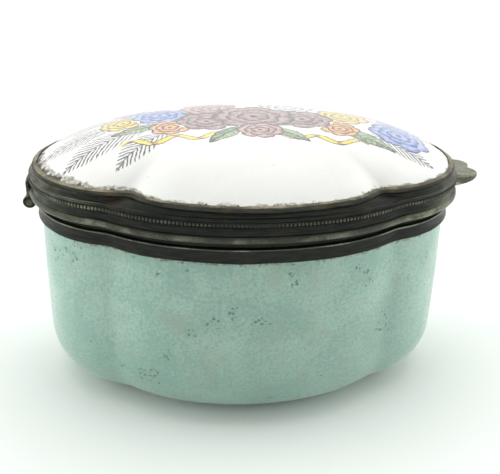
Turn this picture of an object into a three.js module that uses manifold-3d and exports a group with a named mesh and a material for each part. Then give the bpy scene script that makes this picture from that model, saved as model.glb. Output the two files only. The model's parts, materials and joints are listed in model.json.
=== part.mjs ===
// An enamelled snuff box of lobed oval plan: a rounded copper cup and a domed copper lid, each coated
// inside and out with fused enamel and held in moulded metal mounts. The lid turns on a five-knuckle
// hinge at one end and is lifted by a two-lobed thumbpiece at the other.
// Millimetres, +Z up, the origin at the middle of the underside, +X towards the thumbpiece.
import * as THREE from 'three';
import { mergeVertices } from 'three/addons/utils/BufferGeometryUtils.js';
import Module from 'manifold-3d';

const wasm = await Module();
wasm.setup();

// The lobed outline: two broad side lobes, two round end lobes and a shallow notch between each pair.
// A side lobe is nearly flat over sideTurn either way from its middle, and rounder at its shoulders.
const plan = {
  halfLength: 36,
  halfWidth: 24.3,
  sideRadius: 45.8,
  sideTurn: THREE.MathUtils.degToRad(15),
  shoulderRadius: 30.9,
  notchRadius: 8.3,
  endRadius: 18.15,
};
// The lid plate's seat is as wide and a little shorter, and has deeper notches.
const seatEndInset = 0.5;
const seatPlan = {
  halfLength: plan.halfLength - seatEndInset,
  halfWidth: plan.halfWidth,
  sideRadius: 36.6,
  sideTurn: THREE.MathUtils.degToRad(21.5),
  shoulderRadius: 11.4,
  notchRadius: 1.95,
  endRadius: 17.8,
};

// Fused layers of the cup and of the lid plate, from the outside in.
const outerCoat = 0.45;
const copperSheet = 0.5;
const innerCoat = 0.4;
const fusedGap = 0.02;

// The cup stands inside the outline. Its wall is bowed: widest at the belly, where the rounded foot
// starts, and drawn in to its top.
const cup = {
  bellyInset: 1.1,
  wallInset: 1.8,
  wallTop: 31.7,
  footInset: 9.05,
  footRise: 9.2,
};

// Clearances between pieces.
const solderGap = 0.04;
const beddingGap = 0.03;
const closingGap = 0.2;
const knuckleRunGap = 0.15;
const knuckleEndGap = 0.08;
const pinGap = 0.04;

// The cup's mount: a flared skirt outside the wall, with a ridge along its top edge, a recess above the
// ridge, a ledge over the wall's edge, and a lining that stands up inside the lid.
const cupMount = {
  inset: 1.3,
  skirtDrop: 1.56,
  skirtFlare: 0.28,
  skirtGap: 0.1,
  ridgeHeight: 0.33,
  ridgeProud: 0.12,
  recessHeight: 1,
  recessInset: 1.65,
  beddingHeight: 0.4,
  ledgeHeight: 1.24,
  liningThickness: 0.43,
  liningDrop: 2.6,
  liningStand: 2,
};

// The lid's mount, stacked upwards from the closing line: bead, band, milled wire in its groove, fillet
// and cove.
const lidMount = {
  beadHeight: 1.2,
  beadEase: 0.05,
  beadLean: 0.08,
  bandHeight: 1.3,
  bandInset: 0.42,
  wireHeight: 0.66,
  wireInset: 0.13,
  grooveInset: 0.75,
  filletHeight: 0.6,
  filletInset: 0.35,
  coveHeight: 0.84,
  coveInset: 0.65,
  rimInset: 0.4,
  wallInset: 2.15,
  rebateInset: 1,
  rebateDepth: 1.3,
  ledgeWidth: 0.75,
  ledgeHeight: 0.3,
  shoulderDrop: 0.2,
  beddingHeight: 0.27,
  liningThickness: 0.41,
  liningLift: 0.15,
};

// The thin edge rolled over the lid plate.
const settingEdge = {
  height: 0.65,
  outerInset: 0.28,
  lipReach: 0.07,
  lipThickness: 0.1,
};

// The lid plate's dome, flat in the middle and steep at its edge.
const dome = {
  rise: 6.05,
  power: 4,
  ovalShare: 0.97,
};

// The hinge lies along Y at the -X end.
const hinge = {
  belowClosing: 1.2,
  knuckleRadius: 1.05,
  pinRadius: 0.4,
  length: 8,
  knuckles: 5,
  pinHeadLength: 0.12,
  strapThickness: 0.38,
  strapHeight: 2.4,
  strapStand: 0.04,
};

// The thumbpiece is a two-lobed plate at the +X end, flat on top.
const thumbpiece = {
  reach: 3.8,
  lobeRadius: 2.6,
  lobeSpread: 2.2,
  lift: 0.7,
  rootThickness: 1.95,
  tipThickness: 0.8,
  rootDepth: 1.2,
};

// How finely curves are divided.
const endSteps = 6;
const notchSteps = 3;
const shoulderSteps = 4;
const sideSteps = 2;
const footSteps = 5;
const wallSteps = 3;
const domeSteps = 4;
const barrelSides = 20;
const pinSides = 16;
const lobeSteps = 10;

// Places worked out from the sizes above.
const sheetThickness = outerCoat + copperSheet + innerCoat + 2 * fusedGap;
const outerCoatDepths = [0, outerCoat];
const copperDepths = [outerCoat + fusedGap, outerCoat + fusedGap + copperSheet];
const innerCoatDepths = [sheetThickness - innerCoat, sheetThickness];

const skirtLow = cup.wallTop - cupMount.skirtDrop;
const skirtLip = wallInsetAt(skirtLow) - cupMount.skirtGap;
const cupLedgeLow = cup.wallTop + cupMount.beddingHeight + 2 * beddingGap;
const cupMountTop = cupLedgeLow + cupMount.ledgeHeight;
const ridgeTop = cupMountTop - cupMount.recessHeight;
const ridgeLow = ridgeTop - cupMount.ridgeHeight;
const cupLiningInset = cup.wallInset + sheetThickness + beddingGap;

const lidLow = cupMountTop + closingGap;
const beadTop = lidLow + lidMount.beadHeight;
const bandTop = beadTop + lidMount.bandHeight;
const wireLow = bandTop + solderGap;
const wireTop = wireLow + lidMount.wireHeight;
const filletLow = wireTop + solderGap;
const filletTop = filletLow + lidMount.filletHeight;
const frameTop = filletTop + lidMount.coveHeight;
const lidLedge = frameTop - lidMount.rebateDepth;
const lidShoulder = lidLedge - lidMount.ledgeHeight;
const plateLow = lidLedge + lidMount.beddingHeight + 2 * beddingGap;
const plateEdge = plateLow + sheetThickness;
const plateInset = lidMount.rebateInset + beddingGap;

const hingeX = -(plan.halfLength - cupMount.inset + hinge.knuckleRadius + solderGap);
const hingeZ = cupMountTop - hinge.belowClosing;
const knucklePitch = hinge.length / hinge.knuckles;

const enamelGreen = new THREE.MeshStandardMaterial({ color: 0x8fb9a9, roughness: 0.3, metalness: 0 });
const enamelWhite = new THREE.MeshStandardMaterial({ color: 0xf3f3ee, roughness: 0.15, metalness: 0 });
const copper = new THREE.MeshStandardMaterial({ color: 0x9a5f42, roughness: 0.5, metalness: 1 });
const darkMount = new THREE.MeshStandardMaterial({ color: 0x3b3d38, roughness: 0.45, metalness: 0.9 });
const wornEdge = new THREE.MeshStandardMaterial({ color: 0x8b8466, roughness: 0.5, metalness: 0.8 });
const pinWire = new THREE.MeshStandardMaterial({ color: 0x6d6a5e, roughness: 0.4, metalness: 0.9 });
const bedding = new THREE.MeshStandardMaterial({ color: 0xcfc8b4, roughness: 0.9, metalness: 0 });

const origin = new THREE.Vector2();

// How far inside the outline the bowed wall's outer face stands at a height.
function wallInsetAt(z) {
  const share = (z - cup.footRise) / (cup.wallTop - cup.footRise);
  return cup.bellyInset + (cup.wallInset - cup.bellyInset) * share ** 2;
}

// Points along an arc, without its last one.
function arcPoints(centre, radius, from, to, steps) {
  return Array.from({ length: steps }, (_, i) => {
    const angle = from + ((to - from) * i) / steps;
    return new THREE.Vector2(
      centre.x + radius * Math.cos(angle),
      centre.y + radius * Math.sin(angle),
    );
  });
}

// The point at the given distances from two centres, on the left of the line from a to b.
function meetingPoint(a, distanceA, b, distanceB) {
  const along = b.clone().sub(a);
  const span = along.length();
  const foot = (distanceA ** 2 - distanceB ** 2 + span ** 2) / (2 * span);
  const height = Math.sqrt(distanceA ** 2 - foot ** 2);
  const unit = along.divideScalar(span);
  const left = new THREE.Vector2(-unit.y, unit.x);
  return a.clone().addScaledVector(unit, foot).addScaledVector(left, height);
}

// The lobed outline moved outwards by offset. Every outline has the same number of points.
function lobedOutline(shape, offset) {
  const sideCentre = new THREE.Vector2(0, shape.halfWidth - shape.sideRadius);
  const endCentre = new THREE.Vector2(shape.halfLength - shape.endRadius, 0);
  const shoulderAngle = Math.PI / 2 - shape.sideTurn;
  const shoulderCentre = sideCentre.clone().add(
    new THREE.Vector2(shape.sideRadius - shape.shoulderRadius, 0).rotateAround(origin, shoulderAngle),
  );
  const notchCentre = meetingPoint(
    shoulderCentre,
    shape.shoulderRadius + shape.notchRadius,
    endCentre,
    shape.endRadius + shape.notchRadius,
  );
  const endAngle = notchCentre.clone().sub(endCentre).angle();
  const notchAngle = notchCentre.clone().sub(shoulderCentre).angle();
  const arcs = [
    [endCentre, shape.endRadius + offset, 0, endAngle, endSteps],
    [notchCentre, shape.notchRadius - offset, endAngle + Math.PI, notchAngle + Math.PI, notchSteps],
    [shoulderCentre, shape.shoulderRadius + offset, notchAngle, shoulderAngle, shoulderSteps],
    [sideCentre, shape.sideRadius + offset, shoulderAngle, Math.PI / 2, sideSteps],
  ];
  const quarter = arcs.flatMap((arc) => arcPoints(...arc));
  const half = [
    ...quarter,
    new THREE.Vector2(0, shape.halfWidth + offset),
    ...quarter
      .slice(1)
      .reverse()
      .map((p) => new THREE.Vector2(-p.x, p.y)),
  ];
  return [...half, ...half.map((p) => new THREE.Vector2(-p.x, -p.y))];
}

function ringAt(outline, z) {
  return outline.map((p) => new THREE.Vector3(p.x, p.y, z));
}

// The two faces between four corners, a and b on one ring and c and d on the next, split along the
// shorter diagonal. A pole's two corners are the same point, and it needs one face only.
function facesBetween(points, [a, b], [c, d]) {
  if (a === b) return [a, d, c];
  if (c === d) return [a, b, c];
  const splitAD = points[a].distanceToSquared(points[d]);
  const splitBC = points[b].distanceToSquared(points[c]);
  return splitAD < splitBC ? [a, b, d, a, d, c] : [a, b, c, b, d, c];
}

// A closed skin over rings. A ring of one point is a pole, and a skin without poles closes on itself.
function skin(rings) {
  const points = rings.flat();
  const starts = rings.map((_, i) => rings.slice(0, i).flat().length);
  const corners = (r, i) => [
    starts[r] + (i % rings[r].length),
    starts[r] + ((i + 1) % rings[r].length),
  ];
  const faces = [];
  const bands = rings[0].length === 1 ? rings.length - 1 : rings.length;
  for (let r = 0; r < bands; r += 1) {
    const next = (r + 1) % rings.length;
    const steps = Math.max(rings[r].length, rings[next].length);
    for (let i = 0; i < steps; i += 1) {
      faces.push(...facesBetween(points, corners(r, i), corners(next, i)));
    }
  }
  const geometry = new THREE.BufferGeometry().setFromPoints(points);
  geometry.setIndex(faces);
  return facingOut(geometry);
}

// Turns every face round if the skin encloses a negative volume.
function facingOut(geometry) {
  const p = geometry.getAttribute('position');
  const faces = geometry.index.array;
  const [a, b, c] = [new THREE.Vector3(), new THREE.Vector3(), new THREE.Vector3()];
  let volume = 0;
  for (let i = 0; i < faces.length; i += 3) {
    a.fromBufferAttribute(p, faces[i]);
    b.fromBufferAttribute(p, faces[i + 1]);
    c.fromBufferAttribute(p, faces[i + 2]);
    volume += a.dot(b.cross(c)) / 6;
  }
  if (volume < 0) {
    for (let i = 0; i < faces.length; i += 3) {
      [faces[i + 1], faces[i + 2]] = [faces[i + 2], faces[i + 1]];
    }
  }
  geometry.computeVertexNormals();
  return geometry;
}

// A ring with the given section, whose points are [outline, offset, height].
function lobedRing(section) {
  return skin(section.map(([shape, offset, z]) => ringAt(lobedOutline(shape, offset), z)));
}

function toSolid(geometry) {
  const plain = geometry.clone();
  plain.deleteAttribute('normal');
  plain.deleteAttribute('uv');
  const merged = mergeVertices(plain, 1e-4);
  return new wasm.Manifold(
    new wasm.Mesh({
      numProp: 3,
      vertProperties: new Float32Array(merged.getAttribute('position').array),
      triVerts: new Uint32Array(merged.index.array),
    }),
  );
}

function toGeometry(solid) {
  const mesh = solid.getMesh();
  const positions = new Float32Array(mesh.numVert * 3);
  for (let i = 0; i < mesh.numVert; i += 1) {
    const start = i * mesh.numProp;
    positions.set(mesh.vertProperties.subarray(start, start + 3), i * 3);
  }
  const geometry = new THREE.BufferGeometry();
  geometry.setAttribute('position', new THREE.BufferAttribute(positions, 3));
  geometry.setIndex(new THREE.BufferAttribute(new Uint32Array(mesh.triVerts), 1));
  geometry.computeVertexNormals();
  return geometry;
}

// One skin of the cup, from the middle of its floor to the top of its wall, depth inside the outer face.
function cupRings(depth) {
  const rings = [[new THREE.Vector3(0, 0, depth)]];
  for (let i = 0; i <= footSteps; i += 1) {
    const angle = ((Math.PI / 2) * i) / footSteps;
    const inset = cup.bellyInset + depth + (cup.footInset - depth) * (1 - Math.sin(angle));
    const z = depth + (cup.footRise - depth) * (1 - Math.cos(angle));
    rings.push(ringAt(lobedOutline(plan, -inset), z));
  }
  for (let i = 1; i <= wallSteps; i += 1) {
    const z = cup.footRise + ((cup.wallTop - cup.footRise) * i) / wallSteps;
    rings.push(ringAt(lobedOutline(plan, -wallInsetAt(z) - depth), z));
  }
  return rings;
}

// One skin of the lid plate, from the middle of the dome to its edge. The notches fade towards the
// middle, where each ring is an oval.
function domeRings(depth) {
  const edge = lobedOutline(seatPlan, -plateInset);
  const halfLength = seatPlan.halfLength - plateInset;
  const halfWidth = seatPlan.halfWidth - plateInset;
  const rings = [[new THREE.Vector3(0, 0, plateEdge + dome.rise - depth)]];
  for (let i = 1; i <= domeSteps; i += 1) {
    const t = Math.sin(((Math.PI / 2) * i) / domeSteps);
    const z = plateEdge + dome.rise * (1 - t ** dome.power) - depth;
    const ring = edge.map((p) => {
      const angle = Math.atan2(p.y / halfWidth, p.x / halfLength);
      const oval = new THREE.Vector2(
        dome.ovalShare * halfLength * Math.cos(angle),
        dome.ovalShare * halfWidth * Math.sin(angle),
      );
      const mixed = oval.lerp(p, t * t).multiplyScalar(t);
      return new THREE.Vector3(mixed.x, mixed.y, z);
    });
    rings.push(ring);
  }
  return rings;
}

function layer(ringsOf, [outer, inner]) {
  return skin([...ringsOf(outer), ...ringsOf(inner).reverse()]);
}

// A cylinder along Y at the hinge, between two places along it.
function barrel(radius, from, to, sides) {
  const geometry = new THREE.CylinderGeometry(radius, radius, to - from, sides);
  geometry.translate(0, (from + to) / 2, 0);
  geometry.translate(hingeX, 0, hingeZ);
  return toSolid(geometry);
}

// Where each knuckle starts and ends along Y. Even ones belong to the cup and odd ones to the lid.
function knuckleSpans() {
  return Array.from({ length: hinge.knuckles }, (_, i) => {
    const from = -hinge.length / 2 + i * knucklePitch;
    return { onLid: i % 2 === 1, from, to: from + knucklePitch };
  });
}

// Cuts the hinge's seat into a piece of one side: close round its own knuckles, free of the others.
function cutHingeSeat(solid, onLid) {
  return knuckleSpans().reduce((left, span) => {
    const gap = span.onLid === onLid ? solderGap : knuckleRunGap;
    const cutter = barrel(hinge.knuckleRadius + gap, span.from - gap, span.to + gap, barrelSides);
    return left.subtract(cutter);
  }, solid);
}

function cupBand() {
  const m = cupMount;
  const ledgeInset = cupLiningInset - solderGap;
  const section = [
    [plan, -skirtLip, skirtLow],
    [plan, m.skirtFlare - m.inset, skirtLow],
    [plan, -m.inset, ridgeLow],
    [plan, m.ridgeProud - m.inset, ridgeLow + m.ridgeHeight * 0.3],
    [plan, m.ridgeProud - m.inset, ridgeTop - m.ridgeHeight * 0.3],
    [plan, -m.inset, ridgeTop],
    [plan, -m.recessInset, ridgeTop],
    [plan, -m.recessInset, cupMountTop],
    [plan, -ledgeInset, cupMountTop],
    [plan, -ledgeInset, cupLedgeLow],
    [plan, -skirtLip, cupLedgeLow],
  ];
  return toGeometry(cutHingeSeat(toSolid(lobedRing(section)), false));
}

function plainRing(shape, outerInset, innerInset, low, high) {
  return lobedRing([
    [shape, -innerInset, low],
    [shape, -outerInset, low],
    [shape, -outerInset, high],
    [shape, -innerInset, high],
  ]);
}

function cupLining() {
  const inner = cupLiningInset + cupMount.liningThickness;
  const low = cup.wallTop - cupMount.liningDrop;
  return plainRing(plan, cupLiningInset, inner, low, cupMountTop + cupMount.liningStand);
}

function cupBedding() {
  const inner = cup.wallInset + sheetThickness;
  const low = cup.wallTop + beddingGap;
  return plainRing(plan, cup.wallInset, inner, low, low + cupMount.beddingHeight);
}

function lidFrame() {
  const m = lidMount;
  const cove = filletTop + m.coveHeight * 0.35;
  const section = [
    [plan, -m.wallInset, lidLow],
    [plan, -m.bandInset, lidLow],
    [plan, -m.beadEase, lidLow + m.beadHeight * 0.15],
    [plan, 0, lidLow + m.beadHeight * 0.45],
    [plan, -m.beadLean, lidLow + m.beadHeight * 0.8],
    [plan, -m.bandInset, beadTop],
    [plan, -m.bandInset, bandTop],
    [plan, -m.grooveInset, bandTop],
    [plan, -m.grooveInset, filletLow],
    [plan, -m.filletInset, filletLow],
    [plan, -m.filletInset, filletTop],
    [plan, -m.coveInset, filletTop],
    [plan, -m.coveInset, cove],
    [seatPlan, -m.rimInset, frameTop],
    [seatPlan, -m.rebateInset, frameTop],
    [seatPlan, -m.rebateInset, lidLedge],
    [seatPlan, -m.rebateInset - m.ledgeWidth, lidLedge],
    [seatPlan, -m.rebateInset - m.ledgeWidth, lidShoulder],
    [plan, -m.wallInset, lidShoulder - m.shoulderDrop],
  ];
  return toGeometry(cutHingeSeat(toSolid(lobedRing(section)), true));
}

function milledWire() {
  const m = lidMount;
  const back = m.grooveInset - solderGap;
  const front = (back + m.wireInset) / 2;
  return lobedRing([
    [plan, -back, wireLow],
    [plan, -front, wireLow],
    [plan, -m.wireInset, wireLow + m.wireHeight * 0.3],
    [plan, -m.wireInset, wireLow + m.wireHeight * 0.7],
    [plan, -front, wireTop],
    [plan, -back, wireTop],
  ]);
}

function lidLining() {
  const outer = lidMount.wallInset + solderGap;
  const high = lidShoulder - lidMount.shoulderDrop - lidMount.liningLift;
  const low = lidLow + lidMount.liningLift;
  return plainRing(plan, outer, outer + lidMount.liningThickness, low, high);
}

function lidBedding() {
  const outer = plateInset;
  const inner = lidMount.rebateInset + lidMount.ledgeWidth;
  const low = lidLedge + beddingGap;
  return plainRing(seatPlan, outer, inner, low, low + lidMount.beddingHeight);
}

function rolledEdge() {
  const low = frameTop + solderGap;
  const high = low + settingEdge.height;
  const lip = plateInset + settingEdge.lipReach;
  return lobedRing([
    [seatPlan, -lidMount.rimInset, low],
    [seatPlan, -settingEdge.outerInset, low + settingEdge.height * 0.35],
    [seatPlan, -lidMount.rimInset, high - settingEdge.height * 0.2],
    [seatPlan, -lidMount.coveInset, high],
    [seatPlan, -plateInset, high + settingEdge.lipThickness / 2],
    [seatPlan, -lip, high],
    [seatPlan, -lip, high - settingEdge.lipThickness],
    [seatPlan, -lidMount.rebateInset, high - settingEdge.lipThickness * 2],
    [seatPlan, -lidMount.rebateInset, low],
  ]);
}

function knuckle(span) {
  const from = span.from + knuckleEndGap / 2;
  const to = span.to - knuckleEndGap / 2;
  const tube = barrel(hinge.knuckleRadius, from, to, barrelSides);
  const bore = barrel(hinge.pinRadius + pinGap, from - 1, to + 1, pinSides);
  return toGeometry(tube.subtract(bore));
}

function hingePin() {
  const half = hinge.length / 2;
  const shank = barrel(hinge.pinRadius, -half, half, pinSides);
  const headRadius = hinge.pinRadius + pinGap + 0.1;
  const near = barrel(headRadius, -half - hinge.pinHeadLength, -half, pinSides);
  const far = barrel(headRadius, half, half + hinge.pinHeadLength, pinSides);
  return toGeometry(shank.add(near).add(far));
}

// The strap is a curved plate soldered to the outside of the lid's mount. It reaches down over the
// lid's knuckles.
function hingeStrap() {
  const inner = hinge.strapStand;
  const high = lidLow + hinge.strapHeight;
  const ring = toSolid(plainRing(plan, -inner - hinge.strapThickness, -inner, hingeZ, high));
  const block = new THREE.BoxGeometry(plan.halfLength, hinge.length, 2 * high);
  block.translate(-plan.halfLength, 0, 0);
  const trimmed = ring.intersect(toSolid(block));
  return toGeometry(cutHingeSeat(trimmed, true));
}

// The two lobes in plan: their root lies inside the mount, and they meet in a notch on the axis.
function twoLobes() {
  const t = thumbpiece;
  const root = plan.halfLength - t.rootDepth;
  const lobeX = plan.halfLength + t.reach - t.lobeRadius;
  const halfWidth = t.lobeSpread + t.lobeRadius;
  const meeting = Math.asin(t.lobeSpread / t.lobeRadius);
  const shape = new THREE.Shape();
  shape.moveTo(root, -halfWidth);
  shape.absarc(lobeX, -t.lobeSpread, t.lobeRadius, -Math.PI / 2, meeting, false);
  shape.absarc(lobeX, t.lobeSpread, t.lobeRadius, -meeting, Math.PI / 2, false);
  shape.lineTo(root, halfWidth);
  shape.closePath();
  return shape;
}

// The plate's underside rises towards the tip, and its root follows the lid's mount.
function thumbpieceGeometry() {
  const t = thumbpiece;
  const low = lidLow + t.lift;
  const plate = new THREE.ExtrudeGeometry(twoLobes(), {
    depth: t.rootThickness,
    bevelEnabled: false,
    curveSegments: lobeSteps,
  });
  plate.translate(0, 0, low);
  const slope = Math.atan2(t.rootThickness - t.tipThickness, t.reach);
  const below = new THREE.BoxGeometry(4 * t.reach, 4 * t.reach, 2 * t.rootThickness);
  below.translate(0, 0, -t.rootThickness);
  below.rotateY(-slope);
  below.translate(plan.halfLength, 0, low);
  const mount = skin([
    [new THREE.Vector3(0, 0, low - 1)],
    ringAt(lobedOutline(plan, solderGap), low - 1),
    ringAt(lobedOutline(plan, solderGap), low + t.rootThickness + 1),
    [new THREE.Vector3(0, 0, low + t.rootThickness + 1)],
  ]);
  return toGeometry(toSolid(plate).subtract(toSolid(below)).subtract(toSolid(mount)));
}

const box = new THREE.Group();

function piece(name, geometry, material) {
  const mesh = new THREE.Mesh(geometry, material);
  mesh.name = name;
  box.add(mesh);
}

piece('cup_outer_enamel', layer(cupRings, outerCoatDepths), enamelGreen);
piece('cup_copper_core', layer(cupRings, copperDepths), copper);
piece('cup_inner_enamel', layer(cupRings, innerCoatDepths), enamelWhite);
piece('cup_bedding_ring', cupBedding(), bedding);
piece('cup_mount_band', cupBand(), darkMount);
piece('cup_mount_lining', cupLining(), darkMount);

piece('lid_outer_enamel', layer(domeRings, outerCoatDepths), enamelWhite);
piece('lid_copper_core', layer(domeRings, copperDepths), copper);
piece('lid_inner_enamel', layer(domeRings, innerCoatDepths), enamelWhite);
piece('lid_bedding_ring', lidBedding(), bedding);
piece('lid_mount_frame', lidFrame(), darkMount);
piece('lid_mount_lining', lidLining(), darkMount);
piece('lid_milled_wire', milledWire(), darkMount);
piece('lid_setting_edge', rolledEdge(), wornEdge);
piece('lid_thumbpiece', thumbpieceGeometry(), darkMount);
piece('lid_hinge_strap', hingeStrap(), darkMount);

knuckleSpans().forEach((span, i) => {
  const side = span.onLid ? 'lid' : 'cup';
  piece(`${side}_hinge_knuckle_${Math.floor(i / 2) + 1}`, knuckle(span), darkMount);
});
piece('hinge_pin', hingePin(), pinWire);

export default box;
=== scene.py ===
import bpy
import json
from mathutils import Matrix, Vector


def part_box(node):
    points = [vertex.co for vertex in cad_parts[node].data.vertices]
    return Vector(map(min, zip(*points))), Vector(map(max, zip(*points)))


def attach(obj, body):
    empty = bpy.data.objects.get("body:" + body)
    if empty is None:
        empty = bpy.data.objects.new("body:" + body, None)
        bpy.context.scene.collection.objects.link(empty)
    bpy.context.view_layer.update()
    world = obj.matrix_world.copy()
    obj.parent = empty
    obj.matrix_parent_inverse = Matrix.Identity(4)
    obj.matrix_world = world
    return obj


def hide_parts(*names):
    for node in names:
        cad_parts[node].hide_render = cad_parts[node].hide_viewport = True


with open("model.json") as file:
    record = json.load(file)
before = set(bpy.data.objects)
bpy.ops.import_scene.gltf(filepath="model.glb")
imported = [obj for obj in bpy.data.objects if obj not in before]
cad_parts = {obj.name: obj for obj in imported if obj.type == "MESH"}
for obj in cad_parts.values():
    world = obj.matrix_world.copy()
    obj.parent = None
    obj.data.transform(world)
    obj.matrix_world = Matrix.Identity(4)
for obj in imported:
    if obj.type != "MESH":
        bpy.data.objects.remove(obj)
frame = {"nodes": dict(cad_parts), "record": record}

"""An enamelled snuff box of lobed oval plan, dressed for a studio picture.

Profiles and sizes are written in millimetres and turned into metres where a vertex is placed.
Heights and the outline's length and width come from the frame. The fine shape of each moulding is
set here.
"""
import json
import logging
import math
from dataclasses import dataclass, field
from enum import Enum
from functools import cache
from typing import Callable, Iterable, Sequence

import bmesh
import bpy
from mathutils import Matrix, Vector, noise

MM = 0.001
WELD = 0.0004
IMAGE_WIDTH = 500
SENSOR_WIDTH = 36.0
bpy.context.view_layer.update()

log = logging.getLogger("snuff_box")


class Body(Enum):
    """The two bodies that pieces ride on."""

    CUP = "cup"
    LID = "lid"


class Slot(Enum):
    """The record's material slots."""

    TURQUOISE = "turquoise_enamel"
    PAINTED = "painted_white_enamel"
    WHITE = "white_enamel"
    COPPER = "copper_sheet"
    MOUNT = "dark_mount_metal"
    EDGE = "worn_edge_metal"
    PIN = "pin_wire"
    PLASTER = "setting_plaster"


@cache
def low(node: str) -> Vector:
    """Returns a node's lowest corner in millimetres."""
    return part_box(node)[0] / MM


@cache
def high(node: str) -> Vector:
    """Returns a node's highest corner in millimetres."""
    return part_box(node)[1] / MM


def count(full: int) -> int:
    """Returns the number of steps of a curve."""
    return full


def ray(angle: float) -> Vector:
    """Returns the flat direction at an angle from +X."""
    return Vector((math.cos(angle), math.sin(angle)))


# Outlines


@dataclass(frozen=True)
class Station:
    """A place on an outline, with the direction that points out of it."""

    point: Vector
    out: Vector

    def at(self, offset: float) -> Vector:
        """Returns the place moved outwards by offset."""
        return self.point + self.out * offset


@dataclass(frozen=True)
class Arc:
    """A stretch of circle in a quarter of the outline. A hollow one bends inwards."""

    centre: Vector
    radius: float
    start: float
    end: float
    hollow: bool = False

    def station(self, share: float) -> Station:
        """Finds a place on the arc.

        Args:
            share: how far along the arc, from 0 to 1.

        Returns:
            The station there.
        """
        out = ray(self.start + (self.end - self.start) * share)
        return Station(self.centre + out * self.radius, -out if self.hollow else out)

    @property
    def length(self) -> float:
        """Length along the arc."""
        return abs(self.end - self.start) * self.radius


@dataclass(frozen=True)
class LobedPlan:
    """Two broad side lobes and two round end lobes, with a notch between each pair."""

    half_length: float
    half_width: float
    side_radius: float
    side_turn: float
    shoulder_radius: float
    notch_radius: float
    end_radius: float

    def arcs(self) -> list[Arc]:
        """Returns the four arcs of the quarter with positive x and y, from the end to the side."""
        side = Vector((0, self.half_width - self.side_radius))
        end = Vector((self.half_length - self.end_radius, 0))
        lean = math.pi / 2 - self.side_turn
        shoulder = side + ray(lean) * (self.side_radius - self.shoulder_radius)
        notch = self._notch_centre(shoulder, end)
        end_angle = math.atan2((notch - end).y, (notch - end).x)
        notch_angle = math.atan2((notch - shoulder).y, (notch - shoulder).x)
        back = (end_angle + math.pi, notch_angle + math.pi)
        return [
            Arc(end, self.end_radius, 0, end_angle),
            Arc(notch, self.notch_radius, *back, hollow=True),
            Arc(shoulder, self.shoulder_radius, notch_angle, lean),
            Arc(side, self.side_radius, lean, math.pi / 2),
        ]

    def _notch_centre(self, shoulder: Vector, end: Vector) -> Vector:
        """Finds the centre of the circle that touches a shoulder and an end lobe from outside."""
        to_shoulder = self.shoulder_radius + self.notch_radius
        to_end = self.end_radius + self.notch_radius
        line = end - shoulder
        span = line.length
        foot_shade = (to_shoulder**2 - to_end**2 + span**2) / (2 * span)
        rise = math.sqrt(to_shoulder**2 - foot_shade**2)
        unit = line / span
        return shoulder + unit * foot_shade + Vector((-unit.y, unit.x)) * rise

    def stations(self, steps: Sequence[int]) -> list[Station]:
        """Walks round the outline.

        Args:
            steps: the number of steps on each of a quarter's four arcs.

        Returns:
            Stations from the +X end anticlockwise.
        """
        quarter = [arc.station(i / n) for arc, n in zip(self.arcs(), steps) for i in range(n)]
        return self._all_round(quarter)

    def even_stations(self, number: int) -> list[Station]:
        """Walks round the outline in steps of equal length.

        Args:
            number: how many stations, a multiple of four.

        Returns:
            Stations from the +X end anticlockwise.
        """
        arcs = self.arcs()
        whole = sum(arc.length for arc in arcs)
        quarter = []
        for i in range(number // 4):
            left = whole * i / (number // 4)
            for arc in arcs:
                if left < arc.length or arc is arcs[-1]:
                    quarter.append(arc.station(left / arc.length))
                    break
                left -= arc.length
        return self._all_round(quarter)

    def _all_round(self, quarter: list[Station]) -> list[Station]:
        """Mirrors a quarter's stations about both axes.

        Args:
            quarter: stations from the +X end up to, but without, the middle of the side.

        Returns:
            The stations of the whole outline.
        """
        flip = Vector((-1, 1))
        middle = Station(Vector((0, self.half_width)), Vector((0, 1)))
        mirrored = [Station(s.point * flip, s.out * flip) for s in reversed(quarter[1:])]
        half = [*quarter, middle, *mirrored]
        return half + [Station(-s.point, -s.out) for s in half]


HALF_LENGTH = high("lid_mount_frame").x
HALF_WIDTH = high("lid_mount_frame").y
EDGE_BULGE = 0.28
SEAT_HALF_LENGTH = high("lid_setting_edge").x + EDGE_BULGE
MOUNT_PLAN = LobedPlan(HALF_LENGTH, HALF_WIDTH, side_radius=45.8, side_turn=math.radians(15),
                       shoulder_radius=30.9, notch_radius=8.3, end_radius=18.15)
SEAT_PLAN = LobedPlan(SEAT_HALF_LENGTH, HALF_WIDTH, side_radius=36.6, side_turn=math.radians(21.5),
                      shoulder_radius=11.4, notch_radius=1.95, end_radius=17.8)
ARC_STEPS = (count(32), count(14), count(20), count(10))
MOUNT_STATIONS = MOUNT_PLAN.stations(ARC_STEPS)
SEAT_STATIONS = SEAT_PLAN.stations(ARC_STEPS)


# Sweeps along the outline


@dataclass(frozen=True)
class Knot:
    """A corner of a section: offset out of the outline, height, share of the seat's plan, wear."""

    off: float
    z: float
    seat: float = 0.0
    wear: float = 0.0

    def mixed(self, other: "Knot", share: float) -> "Knot":
        """Returns the knot that lies a share of the way to another."""
        pairs = ((self.off, other.off), (self.z, other.z), (self.seat, other.seat),
                 (self.wear, other.wear))
        return Knot(*(mine + (its - mine) * share for mine, its in pairs))

    def far_from(self, other: "Knot") -> float:
        """Returns the distance to another knot in the section."""
        return math.hypot(self.off - other.off, self.z - other.z)

    def at(self, i: int) -> Vector:
        """Returns the knot's place in millimetres at station number i."""
        flat = MOUNT_STATIONS[i].at(self.off).lerp(SEAT_STATIONS[i].at(self.off), self.seat)
        return Vector((flat.x, flat.y, self.z))


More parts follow.
